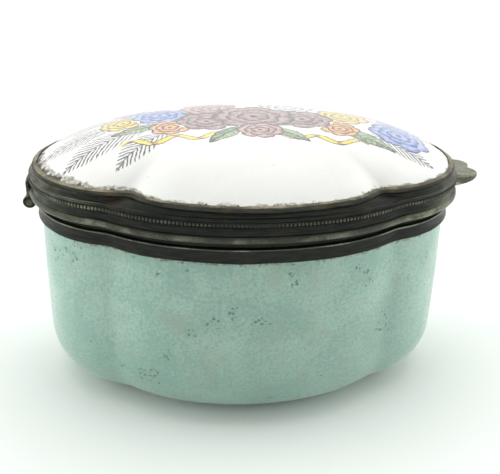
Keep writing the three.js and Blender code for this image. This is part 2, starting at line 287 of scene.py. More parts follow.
def rounded(section: Sequence[Knot], radius: float, steps: int = 3) -> list[Knot]:
    """Rounds the corners of a closed section.

    Args:
        section: its corners in order.
        radius: how far from a corner the rounding starts, at most a third of the side.
        steps: the number of faces across a corner.

    Returns:
        The knots of the rounded section.
    """
    knots = []
    for i, corner in enumerate(section):
        before, after = section[i - 1], section[(i + 1) % len(section)]
        start = corner.mixed(before, min(radius / corner.far_from(before), 0.33))
        end = corner.mixed(after, min(radius / corner.far_from(after), 0.33))
        for k in range(steps + 1):
            share = k / steps
            knots.append(start.mixed(corner, share).mixed(corner.mixed(end, share), share))
    return knots


class LoopStack:
    """A mesh made by extruding one loop of edges again and again, and moving each new loop."""

    def __init__(self, attribute: str) -> None:
        """Starts an empty mesh, with the name of a number that is kept at each vertex."""
        self.mesh = bmesh.new()
        self.layer = self.mesh.verts.layers.float.new(attribute)
        self.first: list[bmesh.types.BMVert] = []
        self.last: list[bmesh.types.BMVert] = []

    def add(self, places: Sequence[Vector], value: float | Sequence[float] = 0.0) -> None:
        """Adds a loop.

        Args:
            places: where its vertices lie, in millimetres.
            value: the attribute's value, for the loop or for each vertex.
        """
        if self.last:
            self.last = self._extruded()
        else:
            self.first = self.last = [self.mesh.verts.new() for _ in places]
            for a, b in zip(self.last, self.last[1:] + self.last[:1]):
                self.mesh.edges.new((a, b))
        values = [value] * len(places) if isinstance(value, (int, float)) else value
        for vert, place, number in zip(self.last, places, values):
            vert.co = place * MM
            vert[self.layer] = number

    def _extruded(self) -> list[bmesh.types.BMVert]:
        """Extrudes the last loop and returns the new one, in the same order."""
        pairs = zip(self.last, self.last[1:] + self.last[:1])
        edges = [self.mesh.edges.get(pair) for pair in pairs]
        made = bmesh.ops.extrude_edge_only(self.mesh, edges=edges)["geom"]
        fresh = {v for v in made if isinstance(v, bmesh.types.BMVert)}
        return [
            next(e.other_vert(vert) for e in vert.link_edges if e.other_vert(vert) in fresh)
            for vert in self.last
        ]

    def cap(self) -> None:
        """Fills the first and the last loop with a face each."""
        for loop in (self.first, self.last):
            bmesh.ops.contextual_create(self.mesh, geom=loop)


def as_object(name: str, mesh: bmesh.types.BMesh, sharp_degrees: float = 40) -> bpy.types.Object:
    """Merges doubles, turns faces outwards and makes an object.

    Args:
        name: the object's name.
        mesh: the bmesh, which is freed.
        sharp_degrees: edges that bend more than this stay sharp.

    Returns:
        The object, in the scene.
    """
    bmesh.ops.remove_doubles(mesh, verts=mesh.verts[:], dist=WELD * MM)
    bmesh.ops.recalc_face_normals(mesh, faces=mesh.faces[:])
    data = bpy.data.meshes.new(name)
    mesh.to_mesh(data)
    mesh.free()
    data.shade_smooth()
    data.set_sharp_from_angle(angle=math.radians(sharp_degrees))
    return linked(name, data)


def linked(name: str, data: bpy.types.ID) -> bpy.types.Object:
    """Makes an object of a mesh, lamp or camera, puts it in the scene and returns it."""
    made = bpy.data.objects.new(name, data)
    bpy.context.scene.collection.objects.link(made)
    return made


Shift = Callable[[Vector, Knot], Vector]


def no_shift(place: Vector, knot: Knot) -> Vector:
    """Leaves a vertex where it is."""
    return place


def waver(place: Vector, *swings: tuple[float, float]) -> float:
    """Returns a smooth hand-made unevenness.

    Args:
        place: where, in millimetres.
        swings: pairs of a size and a length, of which each adds up to about that size over about
            that length.

    Returns:
        How far to move, in millimetres.
    """
    return sum(size * noise.noise(place / pitch) for size, pitch in swings)


def outwards(place: Vector) -> Vector:
    """Returns the level direction that points roughly out of the box at a place."""
    return Vector((place.x, place.y * 2, 0)).normalized()


# Where the ends' wear and painted highlight begin, as a share of the half length.
END_WEAR_AND_HIGHLIGHT_FROM = 0.55


def swept(name: str, section: Sequence[Knot], shift: Shift = no_shift,
          end_wear_and_highlight: float = 0.0) -> bpy.types.Object:
    """Sweeps a closed section round the outline.

    Args:
        name: the piece's name.
        section: the section's knots in order.
        shift: moves each vertex a little.
        end_wear_and_highlight: the wear added towards both ends of the box, where hands hold it,
            and a painted highlight that lightens them.

    Returns:
        The piece, with each vertex's offset, wear and painted end highlight kept as the attribute
        proud.
    """
    stack = LoopStack("proud")
    # Painted highlight: the ends are lightened along with their wear.
    toward_end = (max(0.0, abs(s.point.x) / HALF_LENGTH - END_WEAR_AND_HIGHLIGHT_FROM) for s in MOUNT_STATIONS)
    at_end = [end_wear_and_highlight * share / (1 - END_WEAR_AND_HIGHLIGHT_FROM) for share in toward_end]
    for knot in [*section, section[0]]:
        stack.add([shift(knot.at(i), knot) for i in range(len(MOUNT_STATIONS))],
                  [knot.off + knot.wear + more for more in at_end])
    return as_object(name, stack.mesh)


# Node trees


class Signal:
    """A socket's output, written in sums and products. Joined with |, masks give the larger one."""

    def __init__(self, board: "Board", socket: bpy.types.NodeSocket) -> None:
        """Keeps the socket and the board that it is on."""
        self.board = board
        self.socket = socket

    def __add__(self, other: object) -> "Signal":
        """Returns the sum."""
        return self.board.math("ADD", self, other)

    def __sub__(self, other: object) -> "Signal":
        """Returns the difference."""
        return self.board.math("SUBTRACT", self, other)

    def __rsub__(self, other: float) -> "Signal":
        """Returns the difference from a number."""
        return self.board.math("SUBTRACT", other, self)

    def __mul__(self, other: object) -> "Signal":
        """Returns the product."""
        return self.board.math("MULTIPLY", self, other)

    def __truediv__(self, other: object) -> "Signal":
        """Returns the quotient."""
        return self.board.math("DIVIDE", self, other)

    def __pow__(self, exponent: float) -> "Signal":
        """Returns the power."""
        return self.board.math("POWER", self, exponent)

    def __or__(self, other: object) -> "Signal":
        """Returns the larger of both."""
        return self.board.math("MAXIMUM", self, other)

    def __lt__(self, other: object) -> "Signal":
        """Returns 1 where it is less, and 0 elsewhere."""
        return self.board.math("LESS_THAN", self, other)

    def __gt__(self, other: object) -> "Signal":
        """Returns 1 where it is more, and 0 elsewhere."""
        return self.board.math("GREATER_THAN", self, other)

    def __abs__(self) -> "Signal":
        """Returns the size without the sign."""
        return self.board.math("ABSOLUTE", self)

    def sine(self) -> "Signal":
        """Returns the sine."""
        return self.board.math("SINE", self)


class Signals:
    """A node's outputs as signals, by name."""

    def __init__(self, board: "Board", node: bpy.types.Node) -> None:
        """Keeps the node and the board that it is on."""
        self.board = board
        self.node = node

    def __getitem__(self, name: str | int) -> Signal:
        """Returns the output of a name or number."""
        return Signal(self.board, self.node.outputs[name])


class Blend(Enum):
    """What a Mix node mixes, with the numbers of its two inputs and its output."""

    NUMBER = ("FLOAT", 2, 3, 0)
    VECTOR = ("VECTOR", 4, 5, 1)
    COLOUR = ("RGBA", 6, 7, 2)


class Board:
    """A node tree that is being laid out."""

    def __init__(self, tree: bpy.types.NodeTree) -> None:
        """Starts on an empty tree."""
        self.tree = tree
        tree.nodes.clear()

    def feed(self, socket: bpy.types.NodeSocket, value: object) -> None:
        """Links a signal or an output to an input, or sets the input's value."""
        source = value.socket if isinstance(value, Signal) else value
        if isinstance(source, bpy.types.NodeSocket):
            self.tree.links.new(source, socket)
        else:
            socket.default_value = source

    def node(self, kind: str, settings: dict | None = None, **inputs: object) -> bpy.types.Node:
        """Adds a node.

        Args:
            kind: the node's type, without the word ShaderNode.
            settings: properties of the node.
            inputs: values or signals, by input name with underscores for spaces.

        Returns:
            The node.
        """
        node = self.tree.nodes.new("ShaderNode" + kind)
        for key, value in (settings or {}).items():
            setattr(node, key, value)
        for key, value in inputs.items():
            self.feed(node.inputs[key.replace("_", " ")], value)
        return node

    def outs(self, kind: str, settings: dict | None = None, **inputs: object) -> Signals:
        """Adds a node as node() does, and returns its outputs."""
        return Signals(self, self.node(kind, settings, **inputs))

    def group(self, tree: bpy.types.NodeTree, **inputs: object) -> Signals:
        """Adds a group node and returns its outputs."""
        return self.outs("Group", {"node_tree": tree}, **inputs)

    def _filled(self, kind: str, settings: dict, values: Iterable[object]) -> Signals:
        """Adds a node, fills its inputs in order and returns its outputs."""
        node = self.node(kind, settings)
        for socket, value in zip(node.inputs, values):
            self.feed(socket, value)
        return Signals(self, node)

    def math(self, operation: str, *values: object, clamp: bool = False) -> Signal:
        """Returns the result of a Math node."""
        return self._filled("Math", {"operation": operation, "use_clamp": clamp}, values)[0]

    def vector(self, operation: str, *values: object) -> Signal:
        """Returns the vector that a Vector Math node gives."""
        return self._filled("VectorMath", {"operation": operation}, values)[0]

    def length(self, vector: Signal) -> Signal:
        """Returns a vector's length."""
        return self._filled("VectorMath", {"operation": "LENGTH"}, [vector])["Value"]

    def scaled(self, vector: Signal, factor: object) -> Signal:
        """Returns a vector multiplied by a number."""
        return self.outs("VectorMath", {"operation": "SCALE"}, Vector=vector, Scale=factor)[0]

    def split(self, vector: Signal) -> list[Signal]:
        """Returns a vector's three parts."""
        parts = self.outs("SeparateXYZ", Vector=vector)
        return [parts[key] for key in "XYZ"]

    def range(self, value: Signal, start: object, end: object, first: float = 0.0,
              last: float = 1.0) -> Signal:
        """Returns a smooth step of a value.

        Args:
            value: the value.
            start: where the step starts.
            end: where the step ends.
            first: the result at the start.
            last: the result at the end.

        Returns:
            The step.
        """
        return self.outs("MapRange", {"interpolation_type": "SMOOTHSTEP"}, Value=value,
                         From_Min=start, From_Max=end, To_Min=first, To_Max=last)["Result"]

    def mix(self, share: object, first: object, second: object,
            blend: Blend = Blend.COLOUR) -> Signal:
        """Returns what lies a share of the way between two colours, vectors or numbers."""
        kind, *numbers, result = blend.value
        node = self.node("Mix", {"data_type": kind}, Factor=share)
        for number, value in zip(numbers, (first, second)):
            self.feed(node.inputs[number], value)
        return Signal(self, node.outputs[result])

    def layered(self, base: Signal, *layers: tuple[Signal, object]) -> Signal:
        """Returns a colour with others laid over it, given as pairs of a share and a colour."""
        for share, tone in layers:
            base = self.mix(share, base, tone)
        return base

    def noise(self, place: Signal, scale: float, detail: float = 3.0,
              distortion: float = 0.0) -> Signal:
        """Returns a noise value from 0 to 1.

        Args:
            place: the coordinates in millimetres.
            scale: features to the millimetre.
            detail: octaves of finer noise.
            distortion: how much the noise is warped.

        Returns:
            The value.
        """
        return self.outs("TexNoise", Vector=place, Scale=scale, Detail=detail,
                         Distortion=distortion)["Fac"]

    def patches(self, place: Signal, scale: float, start: float, end: float, detail: float = 3.0,
                distortion: float = 0.0) -> Signal:
        """Returns 1 in cloudy patches, where noise() is over end, and 0 where it is under start."""
        return self.range(self.noise(place, scale, detail, distortion), start, end)

    def place(self) -> Signal:
        """Returns the object coordinates in millimetres."""
        return self.scaled(self.outs("TexCoord")["Object"], 1 / MM)

    def attribute(self, name: str) -> Signal:
        """Returns a number that the mesh keeps."""
        return self.outs("Attribute", {"attribute_name": name})["Fac"]


class Kind(Enum):
    """The kinds of socket on a node group."""

    VALUE = "NodeSocketFloat"
    VECTOR = "NodeSocketVector"
    COLOUR = "NodeSocketColor"


class Group:
    """A shader node group with named inputs and outputs."""

    def __init__(self, name: str, inputs: dict[str, Kind], outputs: dict[str, Kind]) -> None:
        """Makes the group's tree and sockets.

        Args:
            name: the group's name.
            inputs: kinds of input by name.
            outputs: kinds of output by name.
        """
        self.tree = bpy.data.node_groups.new(name, "ShaderNodeTree")
        self.board = Board(self.tree)
        for side, sockets in (("INPUT", inputs), ("OUTPUT", outputs)):
            for key, kind in sockets.items():
                self.tree.interface.new_socket(key, in_out=side, socket_type=kind.value)
        self.given = Signals(self.board, self.tree.nodes.new("NodeGroupInput"))
        self.ends = self.tree.nodes.new("NodeGroupOutput").inputs

    def give(self, **outputs: Signal) -> bpy.types.NodeTree:
        """Links the outputs, by name with underscores for spaces, and returns the tree."""
        for key, value in outputs.items():
            self.board.feed(self.ends[key.replace("_", " ")], value)
        return self.tree


def mottle_group() -> bpy.types.NodeTree:
    """Makes the group for cloudy colour with a fine grain, as fired enamel has."""
    group = Group(
        "Mottled enamel",
        {"Place": Kind.VECTOR, "Light": Kind.COLOUR, "Dark": Kind.COLOUR,
         "Cloud Scale": Kind.VALUE, "Grain Scale": Kind.VALUE, "Grain": Kind.VALUE},
        {"Colour": Kind.COLOUR, "Cloud": Kind.VALUE, "Grain Value": Kind.VALUE},
    )
    board, given = group.board, group.given
    cloud_place = board.scaled(given["Place"], given["Cloud Scale"])
    cloud = board.patches(cloud_place, 1.0, 0.32, 0.68, 5.0, 0.4)
    grain = board.noise(board.scaled(given["Place"], given["Grain Scale"]), 1.0, 2.0)
    signed = board.range(grain, 0.3, 0.7) - 0.5
    share = board.math("ADD", cloud, signed * given["Grain"], clamp=True)
    return group.give(Colour=board.mix(share, given["Light"], given["Dark"]), Cloud=cloud,
                      Grain_Value=grain)


def pit_group() -> bpy.types.NodeTree:
    """Makes the group for small pits and specks that gather in patches."""
    group = Group(
        "Pits and specks",
        {"Place": Kind.VECTOR, "Pitch": Kind.VALUE, "Size": Kind.VALUE, "Anywhere": Kind.VALUE,
         "In Patches": Kind.VALUE},
        {"Mask": Kind.VALUE, "Depth": Kind.VALUE},
    )
    board, given = group.board, group.given
    warp = board.outs("TexNoise", Vector=given["Place"], Scale=2.2, Detail=2.0)["Color"]
    bent = board.vector("ADD", given["Place"], board.scaled(warp, 0.45))
    cells = board.outs("TexVoronoi", {"feature": "F1"}, Scale=1.0,
                       Vector=board.vector("DIVIDE", bent, given["Pitch"]))
    chance = board.outs("SeparateColor", Color=cells["Color"])["Red"]
    patch = board.patches(given["Place"], 0.17, 0.60, 0.72, 2.0)
    share = patch * given["In Patches"] + given["Anywhere"]
    bar = 1.05 - share
    chosen = board.range(chance, bar, bar + 0.1)
    size = given["Size"] * (chance + 0.4)
    mask = board.range(cells["Distance"], size * 0.5, size, 1.0, 0.0) * chosen
    return group.give(Mask=mask, Depth=mask * -1.0)


def streak_group() -> bpy.types.NodeTree:
    """Makes the group for tarnish that runs level along the mouldings, with worn high places, which
    also take painted highlights.
    """
    group = Group(
        "Tarnish, wear and painted highlights",
        {"Place": Kind.VECTOR, "Proud": Kind.VALUE, "Wear From": Kind.VALUE,
         "Wear To": Kind.VALUE, "Dark": Kind.COLOUR, "Middle": Kind.COLOUR, "Worn": Kind.COLOUR},
        {"Colour": Kind.COLOUR, "Wear": Kind.VALUE, "Streak": Kind.VALUE, "Grain": Kind.VALUE},
    )
    board, given = group.board, group.given
    level = board.vector("MULTIPLY", given["Place"], (0.35, 0.35, 3.2))
    streak = board.patches(level, 1.0, 0.3, 0.72, 4.0, 0.3)
    patch = board.patches(given["Place"], 0.22, 0.42, 0.66, 4.0, 0.5)
    grain = board.noise(given["Place"], 7.0, 3.0)
    ridge = board.range(given["Proud"], given["Wear From"], given["Wear To"])
    # Proud also carries painted highlights, so they lighten like rubbed places.
    rubbed = board.range(given["Proud"], 0.3, 1.3, 0.35, 0.95)
    rough_ridge = ridge * board.range(grain, 0.25, 0.6)
    wear = board.math("MULTIPLY", rough_ridge, rubbed + patch, clamp=True)
    tone = board.mix(streak * 0.8, given["Dark"], given["Middle"])
    return group.give(Colour=board.mix(wear, tone, given["Worn"]), Wear=wear, Streak=streak,
                      Grain=grain)


class Effects:
    """The node groups that materials share."""

    def __init__(self) -> None:
        """Builds each group once."""
        self.mottle = mottle_group()
        self.pits = pit_group()
        self.streaks = streak_group()
        self.choice = choice_group()
        self.motifs = {
            Motif.SPRIG: sprig_group(),
            Motif.RIBBON: ribbon_group(),
            Motif.LEAF: leaf_group(),
            Motif.BLOSSOM: blossom_group(),
        }


# Painting on the lid


Colour = tuple[float, float, float, float]


def colour(red: int, green: int, blue: int) -> Colour:
    """Turns screen values from 0 to 255 into a linear colour."""

    def linear(value: int) -> float:
        share = value / 255
        return share / 12.92 if share <= 0.04045 else ((share + 0.055) / 1.055) ** 2.4

    return (linear(red), linear(green), linear(blue), 1.0)


WHITE = colour(255, 255, 255)


class Tint(Enum):
    """Enamel colours of the painting: a light wash and a deeper one."""

    MAUVE = (colour(158, 122, 118), colour(96, 62, 64))
    ROSE = (colour(192, 150, 144), colour(124, 80, 80))
    YELLOW = (colour(236, 214, 72), colour(190, 150, 40))
    ORANGE = (colour(226, 170, 96), colour(176, 100, 54))
    BLUE = (colour(128, 158, 226), colour(60, 88, 170))
    PALE = (colour(228, 229, 228), colour(170, 174, 178))
    GREEN = (colour(150, 178, 128), colour(84, 118, 80))

    @property
    def number(self) -> float:
        """The tint's place from 0 to 1 on a colour ramp."""
        return (list(Tint).index(self) + 0.5) / len(Tint)


class Motif(Enum):
    """The kinds of motif, with the ratio of width to length."""

    SPRIG = 0.36
    RIBBON = 0.2
    LEAF = 0.37
    BLOSSOM = 1.0


@dataclass(frozen=True)
class Stroke:
    """A motif's middle on the lid from above and its half length, in millimetres and degrees."""

    x: float
    y: float
    size: float
    turn: float = 0.0
    tint: Tint = Tint.PALE
    bend: float = 0.0


SPRAY = {
    Motif.SPRIG: [
        Stroke(-22.5, 9.5, 10.5, 155, bend=-0.010),
        Stroke(-25.0, 3.5, 10.5, 176, bend=-0.008),
        Stroke(-24.5, -1.8, 9.5, -164, bend=0.012),
        Stroke(-21.2, -6.0, 9.2, -150, bend=0.012),
        Stroke(-15.6, -8.4, 7.5, -134, bend=0.012),
        Stroke(24.5, 9.0, 9.5, 24, bend=-0.012),
        Stroke(26.5, 1.5, 9.0, -4, bend=0.012),
        Stroke(22.0, -7.6, 7.5, -30, bend=0.012),
    ],
    Motif.RIBBON: [
        Stroke(-11.5, -8.6, 8.5, 6, Tint.YELLOW, 0.012),
        Stroke(10.0, -9.0, 8.5, -8, Tint.YELLOW, 0.014),
    ],
    Motif.LEAF: [
        Stroke(-9.5, 12.5, 5.2, 126, Tint.GREEN),
        Stroke(12.5, 12.5, 5.2, 52, Tint.GREEN),
        Stroke(-17.5, -3.4, 4.6, -160, Tint.GREEN),
        Stroke(18.6, -7.6, 4.6, -34, Tint.GREEN),
        Stroke(-4.0, -7.4, 4.4, -128, Tint.GREEN),
        Stroke(6.0, -7.2, 4.2, -48, Tint.GREEN),
    ],
    Motif.BLOSSOM: [
        Stroke(-19.5, 8.0, 3.4, 30, Tint.BLUE),
        Stroke(21.5, 8.0, 3.5, 10, Tint.ORANGE),
        Stroke(-20.5, 0.8, 3.8, 75, Tint.YELLOW),
        Stroke(-14.5, 3.6, 4.8, 12, Tint.BLUE),
        Stroke(27.2, 4.2, 4.4, 15, Tint.BLUE),
        Stroke(24.8, -3.4, 5.2, 50, Tint.BLUE),
        Stroke(16.5, 3.4, 4.8, 0, Tint.YELLOW),
        Stroke(-12.6, -3.6, 3.4, 44, Tint.ORANGE),
        Stroke(14.6, -4.2, 3.4, 24, Tint.ORANGE),
        Stroke(-6.0, 8.0, 5.2, 60, Tint.ROSE),
        Stroke(7.5, 9.0, 5.0, 20, Tint.PALE),
        Stroke(-6.8, -0.6, 5.0, 8, Tint.MAUVE),
        Stroke(9.2, 0.6, 5.2, 33, Tint.MAUVE),
        Stroke(1.2, 2.2, 7.0, 0, Tint.MAUVE),
        Stroke(1.6, -5.6, 3.8, 50, Tint.ROSE),
    ],
}


def choice_group() -> bpy.types.NodeTree:
    """Makes the group that takes up a motif's own coordinates where its oval covers the place."""
    group = Group(
        "Motif's own place",
        {"Place": Kind.VECTOR, "Local": Kind.VECTOR, "Tint": Kind.VALUE, "Centre": Kind.VECTOR,
         "Turn": Kind.VALUE, "Half Size": Kind.VECTOR, "Bend": Kind.VALUE,
         "New Tint": Kind.VALUE},
        {"Local": Kind.VECTOR, "Tint": Kind.VALUE},
    )
    board, given = group.board, group.given
    moved = board.vector("SUBTRACT", given["Place"], given["Centre"])
    turned = board.outs("VectorRotate", {"rotation_type": "Z_AXIS"}, Vector=moved,
                        Angle=given["Turn"] * -1.0)[0]
    x, y, _ = board.split(turned)
    straight = board.outs("CombineXYZ", X=x, Y=y - given["Bend"] * (x * x))[0]
    own = board.vector("DIVIDE", straight, given["Half Size"])
    inside = board.length(own) < 1.0
    own_x, own_y, _ = board.split(own)
    half_length = board.split(given["Half Size"])[0]
    sized = board.outs("CombineXYZ", X=own_x, Y=own_y, Z=half_length)[0]
    return group.give(
        Local=board.mix(inside, given["Local"], sized, Blend.VECTOR),
        Tint=board.mix(inside, given["Tint"], given["New Tint"], Blend.NUMBER))


class Drawing(Group):
    """A motif's group: from the motif's own coordinates to its filling, its shade and its ink."""

    def __init__(self, name: str) -> None:
        """Makes the group's sockets and takes the motif's own coordinates apart."""
        super().__init__(name, {"Local": Kind.VECTOR, "Line": Kind.VALUE},
                         {"Fill": Kind.VALUE, "Shade": Kind.VALUE, "Ink": Kind.VALUE})
        self.x, self.y, self.size = self.board.split(self.given["Local"])

    def line(self, width: float = 1.0) -> Signal:
        """Returns the pen line's width as a share of a motif that is width times its length."""
        return self.given["Line"] / (self.size * width)

    def pen(self, away: Signal, line: Signal, core: float = 0.3, strength: float = 1.0) -> Signal:
        """Draws a pen line.

        Args:
            away: the distance from the line's middle.
            line: the line's half width.
            core: the share of it that is fully dark.
            strength: how dark that is.

        Returns:
            The mask of the line.
        """
        return self.board.range(away, line * core, line, strength, 0.0)

    def along(self) -> tuple[Signal, Signal]:
        """Returns the share of a long motif's length, and 1 where that lies between 0 and 1."""
        share = self.x * 0.5 + 0.5
        return share, (share > 0.0) * (share < 1.0)


def blossom_group() -> bpy.types.NodeTree:
    """Makes the group for a full blossom in three whorls of petals with fine engraved lines."""
    draw = Drawing("Blossom")
    board, x, y = draw.board, draw.x, draw.y
    share = board.math("SQRT", x * x + y * y)
    angle = board.math("ARCTAN2", y, x)
    line = draw.line()
    fill, ink, shade = None, None, None
    for reach, shift, petals in ((1.0, 0.0, 7), (0.68, 1.3, 6), (0.40, 2.4, 5)):
        scallop = abs(((angle + shift) * (petals / 2)).sine()) ** 0.6
        gap = scallop * (0.17 * reach) + 0.81 * reach - share
        inside = gap > 0.0
        fine = board.range((angle * (petals * 8.0)).sine(), 0.3, 0.9)
        near_rim = board.range(gap, 0.03, 0.17, 0.6, 0.0)
        mark = draw.pen(abs(gap), line, 0.4) | fine * near_rim * inside
        depth = board.range(gap, 0.0, 0.22)
        if fill is None:
            fill, ink, shade = inside, mark, depth
        else:
            hidden = 1.0 - inside
            ink = ink * hidden | mark
            shade = shade * hidden + depth * inside
    heart = board.range(share, 0.07, 0.13, 1.0, 0.0)
    return draw.give(Fill=fill, Shade=shade, Ink=ink | heart)


def leaf_group() -> bpy.types.NodeTree:
    """Makes the group for a pointed leaf with a midrib and side veins."""
    draw = Drawing("Leaf")
    board = draw.board
    share, within = draw.along()
    edge = (share ** 0.8 * math.pi).sine() * 0.95
    side = abs(draw.y)
    line = draw.line(0.36)
    inside = (side < edge) * within
    veins = board.range(((share - side * 0.12) * 62.0).sine(), 0.6, 0.95, 0.0, 0.6)
    marks = draw.pen(abs(side - edge), line) | draw.pen(side, line) | veins * inside
    return draw.give(Fill=inside, Shade=board.range(draw.y, -0.7, 0.7), Ink=marks * within)


def sprig_group() -> bpy.types.NodeTree:
    """Makes the group for a soft frond: fine strokes that lean off a stem and darken to the tip."""
    draw = Drawing("Sprig")
    board = draw.board
    share, within = draw.along()
    side = abs(draw.y)
    reach = (share ** 1.4 * math.pi).sine() | 0.01
    lean = side * -0.25 + share
    strokes = board.range((lean * draw.size * (4 * math.pi / 1.08)).sine(), -0.15, 0.7)
    feather = side / reach + (strokes * -0.45 + 0.45)
    mask = board.range(feather, 0.8, 1.0, 1.0, 0.0) * within
    darkening = board.range(share, 0.1, 0.6, 0.6, 1.0)
    stem = draw.pen(side, draw.line(Motif.SPRIG.value), strength=0.8)
    return draw.give(Fill=mask * 0.32, Shade=board.range(share, 0.5, 1.0, 1.0, 0.3),
                     Ink=strokes * mask * darkening | stem * mask)


def ribbon_group() -> bpy.types.NodeTree:
    """Makes the group for a waving ribbon with hatching where it turns."""
    draw = Drawing("Ribbon")
    board = draw.board
    share, within = draw.along()
    phase = share * (5 * math.pi)
    sway = phase.sine() * 0.5
    slope = abs(board.math("COSINE", phase))
    half = slope * 0.20 + 0.22
    side = abs(draw.y - sway)
    inside = (side < half) * within
    fold = board.range(slope, 0.1, 0.6, 1.0, 0.0)
    fine = board.range((share * draw.size * 26.0).sine(), 0.1, 0.8, 0.0, 0.6)
    marks = draw.pen(abs(side - half), draw.line(Motif.RIBBON.value)) | fold * fine * inside
    return draw.give(Fill=inside, Shade=board.range(slope, 0.0, 0.8), Ink=marks * within)


# Finishes


class Surface:
    """A material whose shader stays in its own tree."""

    def __init__(self, name: str, **constants: float) -> None:
        """Makes the material.

        Args:
            name: its name.
            constants: fixed values of the shader, by input name with underscores for spaces.
        """
        self.material = bpy.data.materials.new(name)
        self.material.use_nodes = True
        self.board = Board(self.material.node_tree)
        self.shader = self.board.node("BsdfPrincipled", **constants)
        self.board.node("OutputMaterial", Surface=self.shader.outputs[0])

    def shows(self, **inputs: object) -> bpy.types.Material:
        """Links what changes over the surface, by input name, and returns the material."""
        for key, value in inputs.items():
            self.board.feed(self.shader.inputs[key.replace("_", " ")], value)
        return self.material

    def bump(self, height: Signal, depth: float) -> Signal:
        """Returns a normal bent by a height, of which 1 stands out by depth in millimetres."""
        return self.board.outs("Bump", Height=height, Strength=1.0, Distance=depth * MM)[0]


@dataclass(frozen=True)
class Mottle:
    """Features of cloud and of grain to the millimetre, and how strong the grain is."""

    cloud_scale: float
    grain_scale: float
    grain: float

    def on(self, board: Board, effects: Effects, place: Signal, tones: Sequence[Colour]) -> Signals:
        """Returns the outputs of the mottle between a light and a dark tone."""
        return board.group(effects.mottle, Place=place, Light=tones[0], Dark=tones[1],
                           Cloud_Scale=self.cloud_scale, Grain_Scale=self.grain_scale,
                           Grain=self.grain)


@dataclass(frozen=True)
class Pitting:
    """The pitch and size of pits, and the share of them that shows anywhere and in patches."""

    pitch: float
    size: float
    anywhere: float
    in_patches: float

    def on(self, board: Board, effects: Effects, place: Signal) -> Signals:
        """Returns the outputs for these pits."""
        return board.group(effects.pits, Place=place, Pitch=self.pitch, Size=self.size,
                           Anywhere=self.anywhere, In_Patches=self.in_patches)


@dataclass(frozen=True)
class TurquoiseEnamel:
    """Mottled satin enamel with patches of dark pits, brown stain below the mount, and painted
    shade that darkens it towards the foot.
    """

    light: Colour = colour(157, 191, 176)
    dark: Colour = colour(138, 175, 161)
    pit: Colour = colour(58, 92, 78)
    stain: Colour = colour(112, 98, 62)
    chalk: Colour = colour(176, 200, 186)
    # Painted shade: the colour that the lower wall darkens to near the foot.
    foot_shade: Colour = colour(122, 158, 145)
    warm: Colour = colour(154, 170, 152)
    mottle: Mottle = Mottle(0.16, 1.9, 1.35)
    pits: Pitting = Pitting(0.55, 0.47, 0.07, 0.85)
    specks: Pitting = Pitting(0.42, 0.40, 0.38, 0.2)
    foot_shade_top: float = 20.0
    stain_top: float = low("cup_mount_band").z + 0.35
    pit_depth: float = 0.05

    def build(self, effects: Effects) -> bpy.types.Material:
        """Makes the material.

        Args:
            effects: the shared groups.

        Returns:
            The material.
        """
        surface = Surface("Turquoise enamel", IOR=1.52, Coat_Roughness=0.12, Sheen_Weight=0.3,
                          Sheen_Roughness=0.3)
        board = surface.board
        place = board.place()
        z = board.split(place)[2]
        mottle = self.mottle.on(board, effects, place, (self.light, self.dark))
        grain = mottle["Grain Value"]
        pits = self.pits.on(board, effects, place)
        specks = self.specks.on(board, effects, place)
        base = board.layered(
            mottle["Colour"],
            (board.patches(place, 1.2, 0.60, 0.74, 4.0, 0.5) * 0.6, self.chalk),
            (board.patches(place, 0.21, 0.50, 0.72, 3.0, 0.3) * 0.5, self.warm),
            (specks["Mask"] * 0.16, self.pit),
            (pits["Mask"] * 0.62, self.pit),
            (self._stained(board, place, z), self.stain),
            # Painted shade: darker towards the foot, where the wall turns under and gets less
            # light.
            (board.range(z, 1.0, self.foot_shade_top, 0.45, 0.0), self.foot_shade))
        rough = board.range(grain, 0.2, 0.8, 0.24, 0.42) + pits["Mask"] * 0.3
        coat = board.range(mottle["Cloud"], 0.0, 1.0, 0.35, 0.15)
        height = grain * 0.14 + pits["Depth"]
        return surface.shows(Base_Color=base, Roughness=rough, Coat_Weight=coat,
                             Normal=surface.bump(height, self.pit_depth))

    def _stained(self, board: Board, place: Signal, z: Signal) -> Signal:
        """Returns the mask of the broken brown line along the mount's lower edge."""
        edge = self.stain_top - board.noise(place, 0.8, 4.0, 0.3) * 1.7
        broken = board.patches(place, 1.9, 0.44, 0.60)
        return board.range(z, edge - 0.12, edge + 0.12) * broken * 0.75


@dataclass(frozen=True)
class WhiteEnamel:
    """Glossy white counter-enamel with faint specks."""

    name: str = "White counter-enamel"
    light: Colour = colour(239, 240, 235)
    dark: Colour = colour(233, 234, 229)
    speck: Colour = colour(120, 120, 112)
    mottle: Mottle = Mottle(0.12, 1.6, 0.35)
    specks: Pitting = Pitting(0.9, 0.14, 0.08, 0.25)

    def ground(self, board: Board, effects: Effects, place: Signal) -> tuple[Signal, Signal]:
        """Returns the plain enamel's colour and grain."""
        mottle = self.mottle.on(board, effects, place, (self.light, self.dark))
        specks = self.specks.on(board, effects, place)
        base = board.mix(specks["Mask"] * 0.55, mottle["Colour"], self.speck)
        return base, mottle["Grain Value"]

    def build(self, effects: Effects) -> bpy.types.Material:
        """Makes the material."""
        surface = Surface(self.name, IOR=1.52, Coat_Roughness=0.06)
        board = surface.board
        base, grain = self.ground(board, effects, board.place())
        return surface.shows(Base_Color=base, Coat_Weight=board.range(grain, 0.0, 1.0, 0.5, 0.3),
                             Roughness=board.range(grain, 0.2, 0.8, 0.10, 0.22),
                             Normal=surface.bump(grain, 0.012))


